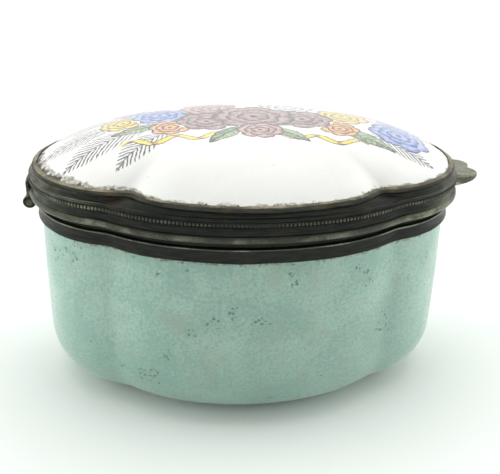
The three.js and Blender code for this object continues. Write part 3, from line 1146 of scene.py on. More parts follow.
@dataclass(frozen=True)
class PaintedEnamel(WhiteEnamel):
    """White enamel with the painted spray, and grime and chips along its rim."""

    name: str = "Painted white enamel"
    ink: Colour = colour(60, 60, 64)
    grime: Colour = colour(104, 92, 64)
    chip: Colour = colour(44, 38, 28)
    line: float = 0.19
    unsteadiness: float = 0.6
    foliage_middle: tuple[float, float, float] = (1.0, 1.8, 0.0)
    foliage_half: tuple[float, float, float] = (15.5, 5.6, 1000.0)
    soiled_end: tuple[float, float] = (-33.0, -15.0)

    def build(self, effects: Effects) -> bpy.types.Material:
        """Makes the material."""
        surface = Surface(self.name, IOR=1.52, Coat_Roughness=0.05)
        board = surface.board
        place = board.place()
        base, grain = self.ground(board, effects, place)
        shaky = board.outs("TexNoise", Vector=place, Scale=0.9, Detail=2.0)["Color"]
        off_middle = board.vector("SUBTRACT", shaky, (0.5, 0.5, 0.5))
        drawn_at = board.vector("ADD", place, board.scaled(off_middle, self.unsteadiness))
        base = self._foliage(board, place, base)
        for motif, strokes in SPRAY.items():
            marks, tint = self._marks(board, effects, motif, strokes, drawn_at)
            base = self._painted(board, marks, tint, place, base)
        base, chipped = self._soiled(board, place, base)
        shine = board.range(grain, 0.0, 1.0, 0.6, 0.4)
        coat = board.math("SUBTRACT", shine, chipped, clamp=True)
        rough = chipped * 0.5 + board.range(grain, 0.2, 0.8, 0.08, 0.18)
        return surface.shows(Base_Color=base, Coat_Weight=coat, Roughness=rough,
                             Normal=surface.bump(grain, 0.010))

    def _foliage(self, board: Board, place: Signal, base: Signal) -> Signal:
        """Adds the dim leaves that show between the middle blossoms and returns the colour."""
        centred = board.vector("SUBTRACT", place, self.foliage_middle)
        away = board.length(board.vector("DIVIDE", centred, self.foliage_half))
        leafy = board.patches(place, 1.6, 0.38, 0.6, 3.0, 0.8)
        tone = board.mix(leafy, Tint.GREEN.value[1], self.ink)
        return board.mix(board.range(away, 0.9, 1.0, 0.85, 0.0), base, tone)

    def _marks(self, board: Board, effects: Effects, motif: Motif, strokes: list[Stroke],
               drawn_at: Signal) -> tuple[Signals, Signal]:
        """Draws all motifs of one kind.

        Args:
            board: the material's board.
            effects: the shared groups.
            motif: the kind.
            strokes: the motifs, the ones at the back first.
            drawn_at: the unsteady place.

        Returns:
            Their filling, shade and ink, and the number of their tint.
        """
        local, tint = (3.0, 3.0, 1.0), 0.5
        for stroke in strokes:
            half_size = (stroke.size, stroke.size * motif.value, 1.0)
            chosen = board.group(effects.choice, Place=drawn_at, Local=local, Tint=tint,
                                 Centre=(stroke.x, stroke.y, 0.0),
                                 Turn=math.radians(stroke.turn), Half_Size=half_size,
                                 Bend=stroke.bend, New_Tint=stroke.tint.number)
            local, tint = chosen["Local"], chosen["Tint"]
        return board.group(effects.motifs[motif], Local=local, Line=self.line), tint

    def _painted(self, board: Board, marks: Signals, tint: Signal, place: Signal,
                 base: Signal) -> Signal:
        """Lays colour and ink where the marks are and returns the colour."""
        wash = board.range(board.noise(place, 1.1, 4.0, 0.6), 0.25, 0.75, 0.6, 1.0)
        broken = board.range(board.noise(place, 2.6, 3.0), 0.28, 0.5, 0.45, 0.9)
        tone = board.mix(marks["Shade"], self._ramp(board, tint, 1), self._ramp(board, tint, 0))
        return board.layered(base, (marks["Fill"], self.light), (marks["Fill"] * wash, tone),
                             (marks["Ink"] * broken, self.ink))

    def _ramp(self, board: Board, tint: Signal, depth: int) -> Signal:
        """Returns the colour that a tint's number stands for, light at depth 0 and deep at 1."""
        node = board.node("ValToRGB", Fac=tint)
        ramp = node.color_ramp
        ramp.interpolation = "CONSTANT"
        for i, entry in enumerate(Tint):
            element = ramp.elements[0] if i == 0 else ramp.elements.new(i / len(Tint))
            element.position = i / len(Tint)
            element.color = entry.value[depth]
        ramp.elements.remove(ramp.elements[-1])
        return Signals(board, node)["Color"]

    def _soiled(self, board: Board, place: Signal, base: Signal) -> tuple[Signal, Signal]:
        """Adds grime and dark chips near the rim and returns the colour and the chips' mask."""
        rim = board.attribute("rim")
        end = board.range(board.split(place)[0], *self.soiled_end, 1.05, 0.0)
        uneven = board.noise(place, 0.55, 4.0, 0.4) * 1.6 + end
        film = board.range(rim - (uneven - 0.42), -0.1, 0.22, 0.75, 0.0)
        cloudy = board.range(board.noise(place, 1.6, 3.0), 0.3, 0.6, 0.35)
        bite = board.noise(place, 0.8, 4.0) * 3.0 - 1.60 + end * 0.9
        chipped = board.range(rim - bite, -0.05, 0.08, 0.85, 0.0)
        return board.layered(base, (film * cloudy, self.grime), (chipped, self.chip)), chipped


@dataclass(frozen=True)
class MountMetal:
    """Dark patinated copper alloy, lighter and browner where it is proud, which also carries
    painted highlights.
    """

    name: str = "Dark mount metal"
    dark: Colour = colour(12, 15, 11)
    middle: Colour = colour(32, 38, 29)
    # Colour of rubbed metal, also used for the painted highlights.
    worn: Colour = colour(140, 146, 124)
    tarnish: Colour = colour(50, 42, 34)
    wear_from: float = -0.35
    wear_to: float = 0.30
    roughness: tuple[float, float] = (0.42, 0.28)

    def build(self, effects: Effects) -> bpy.types.Material:
        """Makes the material."""
        surface = Surface(self.name, IOR=1.4, Sheen_Weight=0.04, Sheen_Roughness=0.35)
        board = surface.board
        place = board.place()
        streaks = board.group(effects.streaks, Place=place, Proud=board.attribute("proud"),
                              Wear_From=self.wear_from, Wear_To=self.wear_to, Dark=self.dark,
                              Middle=self.middle, Worn=self.worn)
        streak, grain = streaks["Streak"], streaks["Grain"]
        patch = board.patches(place, 0.3, 0.52, 0.72, 4.0, 0.5)
        base = board.mix(patch * 0.55, streaks["Colour"], self.tarnish)
        rough = board.range(streak, 0.0, 1.0, *self.roughness)
        metallic = board.range(streaks["Wear"], 0.0, 1.0, 0.35, 1.0)
        return surface.shows(Base_Color=base, Metallic=metallic,
                             Roughness=rough + board.range(grain, 0.3, 0.7, 0.0, 0.12),
                             Normal=surface.bump(grain + streak * 0.6, 0.02))


@dataclass(frozen=True)
class PlainFinish:
    """A hidden or small piece's finish with an even grain."""

    name: str
    light: Colour
    dark: Colour
    roughness: float
    metallic: float
    mottle: Mottle = Mottle(0.6, 5.0, 0.5)

    def build(self, effects: Effects) -> bpy.types.Material:
        """Makes the material."""
        surface = Surface(self.name, Metallic=self.metallic)
        board = surface.board
        mottle = self.mottle.on(board, effects, board.place(), (self.light, self.dark))
        grain = mottle["Grain Value"]
        rough = board.range(grain, 0.2, 0.8, self.roughness - 0.08, self.roughness + 0.08)
        return surface.shows(Base_Color=mottle["Colour"], Roughness=rough,
                             Normal=surface.bump(grain, 0.02))


class Palette:
    """Every finish of the box, by the record's slot."""

    def __init__(self) -> None:
        """Builds the shared groups and the materials."""
        effects = Effects()
        finishes = {
            Slot.TURQUOISE: TurquoiseEnamel(),
            Slot.PAINTED: PaintedEnamel(),
            Slot.WHITE: WhiteEnamel(),
            Slot.MOUNT: MountMetal(),
            Slot.EDGE: MountMetal("Worn edge metal", dark=colour(32, 34, 28),
                                  middle=colour(60, 60, 50), worn=colour(172, 166, 138),
                                  tarnish=colour(84, 72, 50), wear_from=-0.84, wear_to=-1.0,
                                  roughness=(0.5, 0.36)),
            Slot.COPPER: PlainFinish("Copper sheet", light=colour(176, 110, 82),
                                     dark=colour(120, 66, 48), roughness=0.45, metallic=1.0),
            Slot.PIN: PlainFinish("Pin wire", light=colour(92, 90, 80), dark=colour(56, 54, 46),
                                  roughness=0.38, metallic=1.0),
            Slot.PLASTER: PlainFinish("Setting plaster", light=colour(214, 206, 186),
                                      dark=colour(186, 174, 150), roughness=0.9, metallic=0.0),
        }
        self.materials = {slot: finish.build(effects) for slot, finish in finishes.items()}
        # A lighter copy of the mount metal for the thumbpiece: rubbing, and a painted highlight.
        rubbed = MountMetal("Rubbed mount metal with painted highlight", worn=colour(164, 167, 146))
        self.rubbed = rubbed.build(effects)

    def dress(self, piece: bpy.types.Object, slot: Slot) -> None:
        """Gives a piece the material of a slot."""
        piece.data.materials.clear()
        piece.data.materials.append(self.materials[slot])

    def dress_node(self, node: str, slot: Slot) -> None:
        """Gives a CAD node that stays in view the material of a slot."""
        for place in frame["nodes"][node].material_slots:
            place.material = self.materials[slot]


# Pieces


def settle(piece: bpy.types.Object, body: Body, palette: Palette, slot: Slot, node: str) -> None:
    """Dresses a piece, lets it ride on its body and hides the CAD node that it stands for.

    Args:
        piece: the new piece.
        body: the body that it rides on.
        palette: the finishes.
        slot: the slot of its finish.
        node: the CAD node that it replaces.
    """
    palette.dress(piece, slot)
    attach(piece, body.value)
    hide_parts(node)
    log.info("%s rides on %s", piece.name, body.value)


def frame_joint(name: str) -> Vector:
    """Returns a joint's place in millimetres."""
    joint = next(j for j in frame["record"]["behaviour"]["joints"] if j["name"] == name)
    return Vector(joint["pos_m"]) / MM


@dataclass
class Hinge:
    """The end hinge: knuckles round a pin, and how they cut into the mounts behind them."""

    knuckle_radius: float = (high("cup_hinge_knuckle_1").x - low("cup_hinge_knuckle_1").x) / 2
    bore_radius: float = 0.46
    shank_radius: float = 0.4
    ease: float = 0.14
    relief: float = 0.06
    running_relief: float = 0.17
    x: float = field(default_factory=lambda: frame_joint("lid_hinge").x)
    z: float = field(default_factory=lambda: frame_joint("lid_hinge").z)
    names: tuple[str, ...] = ("cup_hinge_knuckle_1", "lid_hinge_knuckle_1", "cup_hinge_knuckle_2",
                              "lid_hinge_knuckle_2", "cup_hinge_knuckle_3")

    def body(self, node: str) -> Body:
        """Returns the body that a knuckle rides on."""
        return Body.LID if node.startswith("lid") else Body.CUP

    def clear_of_knuckles(self, place: Vector, body: Body) -> Vector:
        """Pushes a vertex out of the barrel of knuckles.

        Args:
            place: the vertex in millimetres.
            body: the body that the vertex belongs to.

        Returns:
            The place, moved away from the hinge's axis where it lay too near.
        """
        radial = Vector((place.x - self.x, 0, place.z - self.z))
        for node in self.names:
            gap = self.relief if self.body(node) is body else self.running_relief
            keep = self.knuckle_radius + gap
            if low(node).y - gap < place.y < high(node).y + gap and radial.length < keep:
                radial = radial.normalized() * keep
        return Vector((self.x, place.y, self.z)) + radial

    def knuckle(self, node: str) -> bpy.types.Object:
        """Spins the knuckle that stands for a node, and returns it."""
        radius, ease = self.knuckle_radius, self.ease
        end = [
            (self.bore_radius, 0.0),
            (radius - ease, 0.0),
            (radius - ease * 0.3, ease * 0.3),
            (radius, ease),
        ]
        middle = (radius, (low(node).y + high(node).y) / 2)
        return self._spun(f"{node}_barrel", node, end, [middle], closed=True)

    def pin(self) -> bpy.types.Object:
        """Spins the pin with its two rounded heads, and returns it."""
        head = high("hinge_pin").x - self.x
        end = [(0.0, 0.0), (head * 0.6, 0.02), (head, 0.09), (self.shank_radius, 0.13)]
        return self._spun("hinge_pin_wire", "hinge_pin", end, [], closed=False)

    def _spun(self, name: str, node: str, end: list[tuple[float, float]],
              middle: list[tuple[float, float]], closed: bool) -> bpy.types.Object:
        """Spins an outline that is the same at both ends about the hinge's axis.

        Args:
            name: the piece's name.
            node: the CAD node, whose span along the axis it has.
            end: corners of an end, as a radius and a depth from the end.
            middle: corners between the ends, as a radius and a place on y.
            closed: whether the outline's last corner joins the first.

        Returns:
            The piece.
        """
        first, last = low(node).y, high(node).y
        outline = [*((radius, first + depth) for radius, depth in end), *middle,
                   *((radius, last - depth) for radius, depth in reversed(end))]
        mesh = bmesh.new()
        layer = mesh.verts.layers.float.new("proud")
        verts = []
        for radius, y in outline:
            vert = mesh.verts.new(Vector((self.x, y, self.z + radius)) * MM)
            vert[layer] = 0.1 if radius > self.knuckle_radius * 0.9 else -0.3
            verts.append(vert)
        edges = [mesh.edges.new(pair) for pair in zip(verts, verts[1:])]
        if closed:
            edges.append(mesh.edges.new((verts[-1], verts[0])))
        axis_point = Vector((self.x, 0, self.z)) * MM
        bmesh.ops.spin(mesh, geom=[*verts, *edges], cent=axis_point, axis=(0, 1, 0),
                       dvec=(0, 0, 0), angle=2 * math.pi, steps=count(40), use_merge=True,
                       use_duplicate=False)
        return as_object(name, mesh)

    def build(self, palette: Palette) -> None:
        """Makes the knuckles and the pin, and dresses them."""
        for node in self.names:
            settle(self.knuckle(node), self.body(node), palette, Slot.MOUNT, node)
        settle(self.pin(), Body.CUP, palette, Slot.PIN, "hinge_pin")


LAYER_THICKNESS = {
    "cup_outer_enamel": 0.45,
    "cup_copper_core": 0.5,
    "cup_inner_enamel": 0.4,
    "lid_outer_enamel": 0.45,
    "lid_copper_core": 0.5,
    "lid_inner_enamel": 0.4,
}
LINING_GAP = 0.04
BEDDING_GAP = 0.03
COAT_SHARP_DEGREES = 60


@dataclass
class Cup:
    """The enamelled copper cup and its mount."""

    hinge: Hinge
    belly_inset: float = HALF_LENGTH - high("cup_outer_enamel").x
    top_inset: float = HALF_LENGTH - high("cup_bedding_ring").x
    foot_inset: float = 9.05
    foot_rise: float = 9.2
    foot_steps: int = count(18)
    wall_steps: int = count(10)
    floor_shares: tuple[float, ...] = (0.25, 0.5, 0.75, 0.9)
    lip_overlap: float = 0.1
    ridge_drop: float = 1.0
    ridge_wear: float = 1.35
    recess_floor: float = -2.0
    lining_thickness: float = 0.43

    def coat(self, name: str, node: str) -> bpy.types.Object:
        """Makes one layer of the cup as thick as its node.

        Args:
            name: the piece's name.
            node: the CAD node of the layer.

        Returns:
            The piece.
        """
        outer = HALF_LENGTH - high(node).x
        depth = low(node).z
        inner = depth + LAYER_THICKNESS[node]
        stack = LoopStack("proud")
        for knots in (self._skin(outer, depth), reversed(self._skin(outer + inner - depth, inner))):
            for share, knot in knots:
                places = [knot.at(i) for i in range(len(MOUNT_STATIONS))]
                stack.add([Vector((p.x * share, p.y * share, p.z)) for p in places])
        return as_object(name, stack.mesh, COAT_SHARP_DEGREES)

    def _skin(self, wall_inset: float, depth: float) -> list[tuple[float, Knot]]:
        """Lists the loops of one skin, from the middle of the floor to the top of the wall.

        Args:
            wall_inset: how far the wall stands inside the outline.
            depth: the floor's height.

        Returns:
            Pairs of a share of the full loop and its knot.
        """
        sunk = wall_inset - self.belly_inset
        top = high("cup_outer_enamel").z
        reach, rise = self.foot_inset - sunk, self.foot_rise - sunk
        floor = Knot(-wall_inset - reach, depth)
        loops = [(share, floor) for share in (0.0, *self.floor_shares)]
        for i in range(self.foot_steps + 1):
            angle = math.pi / 2 * i / self.foot_steps
            knot = Knot(-wall_inset - reach * (1 - math.sin(angle)),
                        depth + rise * (1 - math.cos(angle)))
            loops.append((1.0, knot))
        bottom = depth + rise
        for i in range(1, self.wall_steps + 1):
            z = bottom + (top - bottom) * i / self.wall_steps
            loops.append((1.0, Knot(-self.wall_inset(z) - sunk, z)))
        return loops

    def wall_inset(self, z: float) -> float:
        """Returns how far inside the outline the bowed wall's outer face stands at a height."""
        share = (z - self.foot_rise) / (high("cup_outer_enamel").z - self.foot_rise)
        return self.belly_inset + (self.top_inset - self.belly_inset) * share**2

    def skirt(self) -> bpy.types.Object:
        """Makes the flared skirt with the ridge, the recess and the ledge above, and returns it."""
        bottom, top = low("cup_mount_band").z, high("cup_mount_band").z
        lip = self.wall_inset(bottom) - self.lip_overlap
        flare = high("cup_mount_band").x - HALF_LENGTH
        ridge = top - self.ridge_drop
        ledge = high("cup_bedding_ring").z + BEDDING_GAP
        back = HALF_LENGTH - high("cup_mount_lining").x - LINING_GAP
        section = [
            Knot(-lip, bottom),
            Knot(flare - 0.14, bottom),
            Knot(flare, bottom + 0.14),
            Knot(flare - 0.20, bottom + 1.0),
            Knot(flare - 0.29, ridge - 0.38),
            Knot(flare - 0.15, ridge - 0.27, wear=self.ridge_wear),
            Knot(flare - 0.13, ridge - 0.08, wear=self.ridge_wear),
            Knot(flare - 0.27, ridge),
            Knot(self.recess_floor + 0.15, ridge + 0.03),
            Knot(self.recess_floor, top - 0.10),
            Knot(self.recess_floor, top),
            Knot(-back, top),
            Knot(-back, ledge),
            Knot(-lip, ledge),
        ]

        def shift(place: Vector, knot: Knot) -> Vector:
            drop = waver(place, (0.10, 5.0)) if knot.z < bottom + 0.3 else 0.0
            if knot.off > -1.4:
                place = place + outwards(place) * waver(place, (0.05, 6.0), (0.03, 1.7))
            return self.hinge.clear_of_knuckles(place + Vector((0, 0, drop)), Body.CUP)

        # The ends get more wear and a painted highlight.
        return swept("cup_skirt_and_ridge", rounded(section, 0.06), shift, 1.0)

    def lining(self) -> bpy.types.Object:
        """Makes the thin lining that stands up inside the lid, and returns it."""
        bottom, top = low("cup_mount_lining").z, high("cup_mount_lining").z
        outer = HALF_LENGTH - high("cup_mount_lining").x
        inner = outer + self.lining_thickness
        section = [
            Knot(-outer, bottom),
            Knot(-outer, top - 0.5),
            Knot(-outer - 0.04, top - 0.12),
            Knot(-(outer + inner) / 2, top),
            Knot(-inner + 0.03, top - 0.12),
            Knot(-inner, top - 0.5),
            Knot(-inner, bottom),
        ]
        return swept("cup_closing_lining", rounded(section, 0.08))

    def build(self, palette: Palette) -> None:
        """Makes the cup's pieces and dresses them."""
        for name, node, slot in (
            ("cup_turquoise_coat", "cup_outer_enamel", Slot.TURQUOISE),
            ("cup_copper_sheet", "cup_copper_core", Slot.COPPER),
            ("cup_counter_enamel", "cup_inner_enamel", Slot.WHITE),
        ):
            settle(self.coat(name, node), Body.CUP, palette, slot, node)
        settle(self.skirt(), Body.CUP, palette, Slot.MOUNT, "cup_mount_band")
        settle(self.lining(), Body.CUP, palette, Slot.MOUNT, "cup_mount_lining")
        palette.dress_node("cup_bedding_ring", Slot.PLASTER)


@dataclass
class Thumbpiece:
    """The two-lobed thumbpiece, whose underside rises to a thin rounded tip."""

    lobe_radius: float = 2.4
    half_width: float = high("lid_thumbpiece").y - 0.35
    tip_thickness: float = 0.65
    lobe_steps: int = count(20)
    loops: tuple[tuple[float, float], ...] = (
        (0.0, 0.0), (0.5, 0.0), (0.93, 0.0), (0.985, 0.12), (1.0, 0.35), (1.0, 0.7), (0.985, 0.9),
        (0.95, 0.98), (0.90, 1.0), (0.78, 0.93), (0.5, 0.9), (0.25, 0.94), (0.0, 0.96))

    def plate(self) -> bpy.types.Object:
        """Makes the plate of loops, each a share of the outline and of the rise."""
        bottom, top = low("lid_thumbpiece").z, high("lid_thumbpiece").z
        tip = high("lid_thumbpiece").x
        slope = (top - bottom - self.tip_thickness) / (tip - HALF_LENGTH)
        middle = Vector((tip - self.lobe_radius, 0))
        outline = self._outline(middle)
        stack = LoopStack("proud")
        for share, rise in self.loops:
            places = []
            for point in outline:
                spot = middle + (point - middle) * share
                under = bottom + max(0.0, spot.x - HALF_LENGTH) * slope
                places.append(Vector((spot.x, spot.y, under + (top - under) * rise)))
            # Painted highlight: the top loops count as more proud, so they come out lighter, as
            # well as rubbed.
            stack.add(places, 1.2 if rise > 0.85 else 0.3)
        return as_object("lid_thumb_plate", stack.mesh, 50)

    def _outline(self, middle: Vector) -> list[Vector]:
        """Lists points along both lobes and back along the mount's end, just outside it."""
        spread = self.half_width - self.lobe_radius
        meeting = math.asin(spread / self.lobe_radius) - 0.10
        aside = Vector((0, spread))
        arc = MOUNT_PLAN.arcs()[0]
        reach = math.asin(self.half_width / arc.radius)
        root = [arc.centre + ray(reach * (1 - i / 5)) * (arc.radius + 0.04) for i in range(11)]
        return [*self._lobe(middle - aside, -math.pi / 2, meeting),
                *self._lobe(middle + aside, -meeting, math.pi / 2), *root]

    def _lobe(self, centre: Vector, start: float, end: float) -> list[Vector]:
        """Lists points along a lobe's arc."""
        steps = self.lobe_steps
        turns = [start + (end - start) * i / steps for i in range(steps + 1)]
        return [centre + ray(turn) * self.lobe_radius for turn in turns]


@dataclass
class Lid:
    """The domed enamelled plate and the mount that holds it."""

    hinge: Hinge
    dome_power: float = 4.0
    oval_share: float = 0.97
    dome_steps: int = count(64)
    under_steps: int = count(24)
    bead_height: float = 1.2
    groove_floor: float = -0.75
    lining_thickness: float = 0.41
    teeth: int = 336
    tooth_profile: tuple[float, ...] = (0.0, 0.75, 1.0, 0.75)
    tooth_height: float = 0.32
    tooth_sink: float = 0.17
    strap_steps: int = count(48)

    def coat(self, name: str, node: str) -> bpy.types.Object:
        """Makes one layer of the domed plate as thick as its node.

        Args:
            name: the piece's name.
            node: the CAD node of the layer.

        Returns:
            The piece, with the distance from its rim kept as the attribute rim.
        """
        thickness = LAYER_THICKNESS[node]
        inset = SEAT_HALF_LENGTH - high(node).x
        peak, edge = high(node).z, low(node).z + thickness
        stack = LoopStack("rim")
        for share in self._shares(self.dome_steps):
            self._add_loop(stack, share, inset, edge, peak - edge)
        for share in reversed(self._shares(self.under_steps)):
            self._add_loop(stack, share, inset, edge - thickness, peak - edge)
        return as_object(name, stack.mesh, COAT_SHARP_DEGREES)

    def _shares(self, steps: int) -> list[float]:
        """Lists the loops of a dome, from its middle to its rim, as shares of its full size."""
        return [math.sin(math.pi / 2 * i / steps) for i in range(steps + 1)]

    def _add_loop(self, stack: LoopStack, share: float, inset: float, edge: float,
                  rise: float) -> None:
        """Adds the dome's loop at a share of its full size. The notches fade to the middle."""
        across = Vector((SEAT_HALF_LENGTH - inset, HALF_WIDTH - inset))
        z = edge + rise * (1 - share**self.dome_power)
        places, distances = [], []
        for station in SEAT_STATIONS:
            full = station.at(-inset)
            turn = ray(math.atan2(full.y / across.y, full.x / across.x))
            oval = Vector((across.x * turn.x, across.y * turn.y)) * self.oval_share
            spot = oval.lerp(full, share * share) * share
            places.append(Vector((spot.x, spot.y, z)))
            distances.append((full - spot).length)
        stack.add(places, distances)

    def moulding(self) -> bpy.types.Object:
        """Makes the lid's mount: bead, hollow band, groove, fillet and cove, and returns it."""
        bottom, top = low("lid_mount_frame").z, high("lid_mount_frame").z
        bead_top = bottom + self.bead_height
        wire_low, wire_high = low("lid_milled_wire").z, high("lid_milled_wire").z
        ledge = low("lid_bedding_ring").z - BEDDING_GAP
        wall = HALF_LENGTH - high("lid_mount_lining").x - LINING_GAP
        fillet = wire_high + 0.04
        section = [
            Knot(-wall, bottom),
            Knot(-0.66, bottom),
            Knot(-0.32, bottom + 0.05),
            Knot(-0.05, bottom + 0.27),
            Knot(0.02, bottom + 0.56),
            Knot(-0.05, bottom + 0.86),
            Knot(-0.26, bead_top - 0.08),
            Knot(-0.56, bead_top + 0.02),
            Knot(-0.70, bead_top + 0.30),
            Knot(-0.70, bead_top + 0.72),
            Knot(-0.58, wire_low - 0.24),
            Knot(-0.36, wire_low - 0.07),
            Knot(-0.40, wire_low - 0.02),
            Knot(self.groove_floor, wire_low - 0.02),
            Knot(self.groove_floor, fillet),
            Knot(-0.44, fillet),
            Knot(-0.40, fillet + 0.10),
            Knot(-0.50, fillet + 0.34),
            Knot(-0.28, fillet + 0.50),
            Knot(-0.32, fillet + 0.60),
            Knot(-0.64, fillet + 0.66, 0.04),
            Knot(-0.76, fillet + 0.90, 0.25),
            Knot(-0.66, fillet + 1.20, 0.70),
            Knot(-0.44, top, 1.0),
            Knot(-1.0, top, 1.0),
            Knot(-1.0, ledge, 1.0),
            Knot(-1.75, ledge, 1.0),
            Knot(-1.75, ledge - 0.3, 1.0),
            Knot(-wall, ledge - 0.5),
        ]

        def shift(place: Vector, knot: Knot) -> Vector:
            if knot.off > -0.7:
                place = place + outwards(place) * waver(place, (0.06, 7.0), (0.035, 1.9))
            return self.hinge.clear_of_knuckles(place, Body.LID)

        # The ends get more wear and a painted highlight.
        return swept("lid_moulding", rounded(section, 0.07), shift, 0.85)

    def milling(self) -> bpy.types.Object:
        """Makes the milled wire, whose teeth are worn down in some stretches, and returns it."""
        bottom, top = low("lid_milled_wire").z, high("lid_milled_wire").z
        back = high("lid_milled_wire").x - HALF_LENGTH - 0.58
        middle, half = (bottom + top) / 2, (top - bottom) / 2
        section = [
            (back, bottom, 0.0),
            (back + 0.30, bottom, 0.2),
            (back + 0.46, middle - half * 0.55, 0.9),
            (back + 0.50, middle, 1.0),
            (back + 0.46, middle + half * 0.55, 0.9),
            (back + 0.30, top, 0.2),
            (back, top, 0.0),
        ]
        stations = MOUNT_PLAN.even_stations(self.teeth * len(self.tooth_profile))
        stack = LoopStack("proud")
        for off, z, share in [*section, section[0]]:
            places, values = [], []
            for i, station in enumerate(stations):
                crest = self.tooth_profile[i % len(self.tooth_profile)]
                kept, crest_wear_and_highlight = self._tooth(station.point)
                tooth = share * (self.tooth_height * crest * kept - self.tooth_sink)
                spot = station.at(off + tooth)
                places.append(Vector((spot.x, spot.y, z)))
                values.append(off + tooth + share * crest_wear_and_highlight * crest)
            stack.add(places, values)
        return as_object("lid_milling", stack.mesh, 30)

    def _tooth(self, flat: Vector) -> tuple[float, float]:
        """Returns how much of a tooth the wear has left, and how bright its crest is from rubbing
        and a painted highlight towards the ends.
        """
        worn = 0.5 + 0.5 * noise.noise(Vector((flat.x, flat.y, 7.0)) / 9.0) * 2.0
        rubbed = min(1.0, 0.45 + abs(flat.x) / 22)
        kept = min(1.0, max(0.35, 0.62 + worn * 0.38)) * rubbed
        # Painted highlight: the crests lighten towards the ends, along with their wear.
        crest_wear_and_highlight = 0.05 + 0.65 * max(0.0, abs(flat.x) / HALF_LENGTH - 0.2) / 0.8
        return kept, crest_wear_and_highlight

    def rolled_edge(self) -> bpy.types.Object:
        """Makes the thin edge that is rolled unevenly over the plate, and returns it."""
        bottom = low("lid_setting_edge").z
        plate = low("lid_outer_enamel").z + LAYER_THICKNESS["lid_outer_enamel"]
        section = [
            Knot(-0.50, bottom, 1.0),
            Knot(-0.40, bottom + 0.14, 1.0),
            Knot(-0.44, bottom + 0.32, 1.0),
            Knot(-0.64, bottom + 0.46, 1.0),
            Knot(-0.90, plate + 0.16, 1.0),
            Knot(-1.12, plate + 0.24, 1.0),
            Knot(-1.26, plate + 0.32, 1.0),
            Knot(-1.28, plate + 0.25, 1.0),
            Knot(-1.12, plate + 0.12, 1.0),
            Knot(-1.00, plate + 0.02, 1.0),
            Knot(-1.00, bottom, 1.0),
        ]

        def shift(place: Vector, knot: Knot) -> Vector:
            if knot.z < bottom + 0.1 or knot.off < -0.97 and knot.z < plate + 0.1:
                return place
            along = Vector((place.x, place.y, 0))
            lip = min(1.0, max(0.0, (-knot.off - 0.6) / 0.6))
            ragged = waver(along, (0.14, 1.3), (0.10, 0.5), (0.16, 4.0))
            swell = waver(place, (0.05, 2.2)) + waver(along, (0.04, 0.8))
            level = along.normalized() * (swell * (1 - lip) - ragged * lip)
            rise = abs(ragged) * lip * 0.9 + waver(place, (0.06, 1.1))
            return place + level + Vector((0, 0, max(rise, -0.03)))

        return swept("lid_rolled_edge", rounded(section, 0.05), shift, -0.3)

    def lining(self) -> bpy.types.Object:
        """Makes the lining inside the lid's mount, and returns it."""
        bottom, top = low("lid_mount_lining").z, high("lid_mount_lining").z
        outer = HALF_LENGTH - high("lid_mount_lining").x
        inner = outer + self.lining_thickness
        section = [Knot(-outer, bottom), Knot(-outer, top), Knot(-inner, top), Knot(-inner, bottom)]
        return swept("lid_inner_lining", rounded(section, 0.1))

    def hinge_plate(self) -> bpy.types.Object:
        """Makes the curved plate that ties the lid's knuckles to its mount, and returns it."""
        bottom, top = low("lid_hinge_strap").z, high("lid_hinge_strap").z
        inner, outer = 0.04, -low("lid_hinge_strap").x - HALF_LENGTH
        arc = MOUNT_PLAN.arcs()[0]
        reach = math.asin(high("lid_hinge_strap").y / arc.radius)
        section = rounded([Knot(inner, bottom), Knot(outer, bottom), Knot(outer, top - 0.35),
                           Knot(outer - 0.2, top - 0.1), Knot(inner, top)], 0.08)
        stack = LoopStack("proud")
        for i in range(self.strap_steps + 1):
            out = ray(math.pi - reach + 2 * reach * i / self.strap_steps)
            places = []
            for knot in section:
                spot = out * (arc.radius + knot.off) - arc.centre
                place = Vector((spot.x, spot.y, knot.z))
                places.append(self.hinge.clear_of_knuckles(place, Body.LID))
            stack.add(places, 0.05)
        stack.cap()
        return as_object("lid_hinge_plate", stack.mesh)

    def build(self, palette: Palette) -> None:
        """Makes the lid's pieces and dresses them."""
        for name, node, slot in (
            ("lid_painted_coat", "lid_outer_enamel", Slot.PAINTED),
            ("lid_copper_sheet", "lid_copper_core", Slot.COPPER),
            ("lid_counter_enamel", "lid_inner_enamel", Slot.WHITE),
        ):
            settle(self.coat(name, node), Body.LID, palette, slot, node)
        for make, slot, node in (
            (self.moulding, Slot.MOUNT, "lid_mount_frame"),
            (self.lining, Slot.MOUNT, "lid_mount_lining"),
            (self.milling, Slot.MOUNT, "lid_milled_wire"),
            (self.rolled_edge, Slot.EDGE, "lid_setting_edge"),
        ):
            settle(make(), Body.LID, palette, slot, node)
        thumb_plate = Thumbpiece().plate()
        settle(thumb_plate, Body.LID, palette, Slot.MOUNT, "lid_thumbpiece")
        # The thumbpiece takes the lighter copy of the mount metal, partly a painted highlight.
        thumb_plate.data.materials[0] = palette.rubbed
        settle(self.hinge_plate(), Body.LID, palette, Slot.MOUNT, "lid_hinge_strap")
        palette.dress_node("lid_bedding_ring", Slot.PLASTER)


# Studio


def sees_background(board: Board) -> Signal:
    """Returns 1 for rays of the camera, of gloss and through glass, which see the background."""
    path = board.outs("LightPath")
    mirrored = path["Is Glossy Ray"] + path["Is Transmission Ray"]
    return board.math("ADD", path["Is Camera Ray"], mirrored, clamp=True)


@dataclass(frozen=True)
class Lamp:
    """A soft rectangular lamp aimed at the box, whose own shape shows in no reflection."""

    name: str
    place: tuple[float, float, float]
    size: tuple[float, float]
    watts: float
    aim: tuple[float, float, float] = (0.0, 0.0, 0.02)

    def build(self) -> None:
        """Adds the lamp, turned towards the box."""
        data = bpy.data.lights.new(self.name, "AREA")
        data.shape = "RECTANGLE"
        data.size, data.size_y = self.size
        data.energy = self.watts
        lamp = linked(self.name, data)
        lamp.location = self.place
        towards = Vector(self.aim) - lamp.location
        lamp.rotation_euler = towards.to_track_quat("-Z", "Y").to_euler()
        lamp.visible_glossy = False


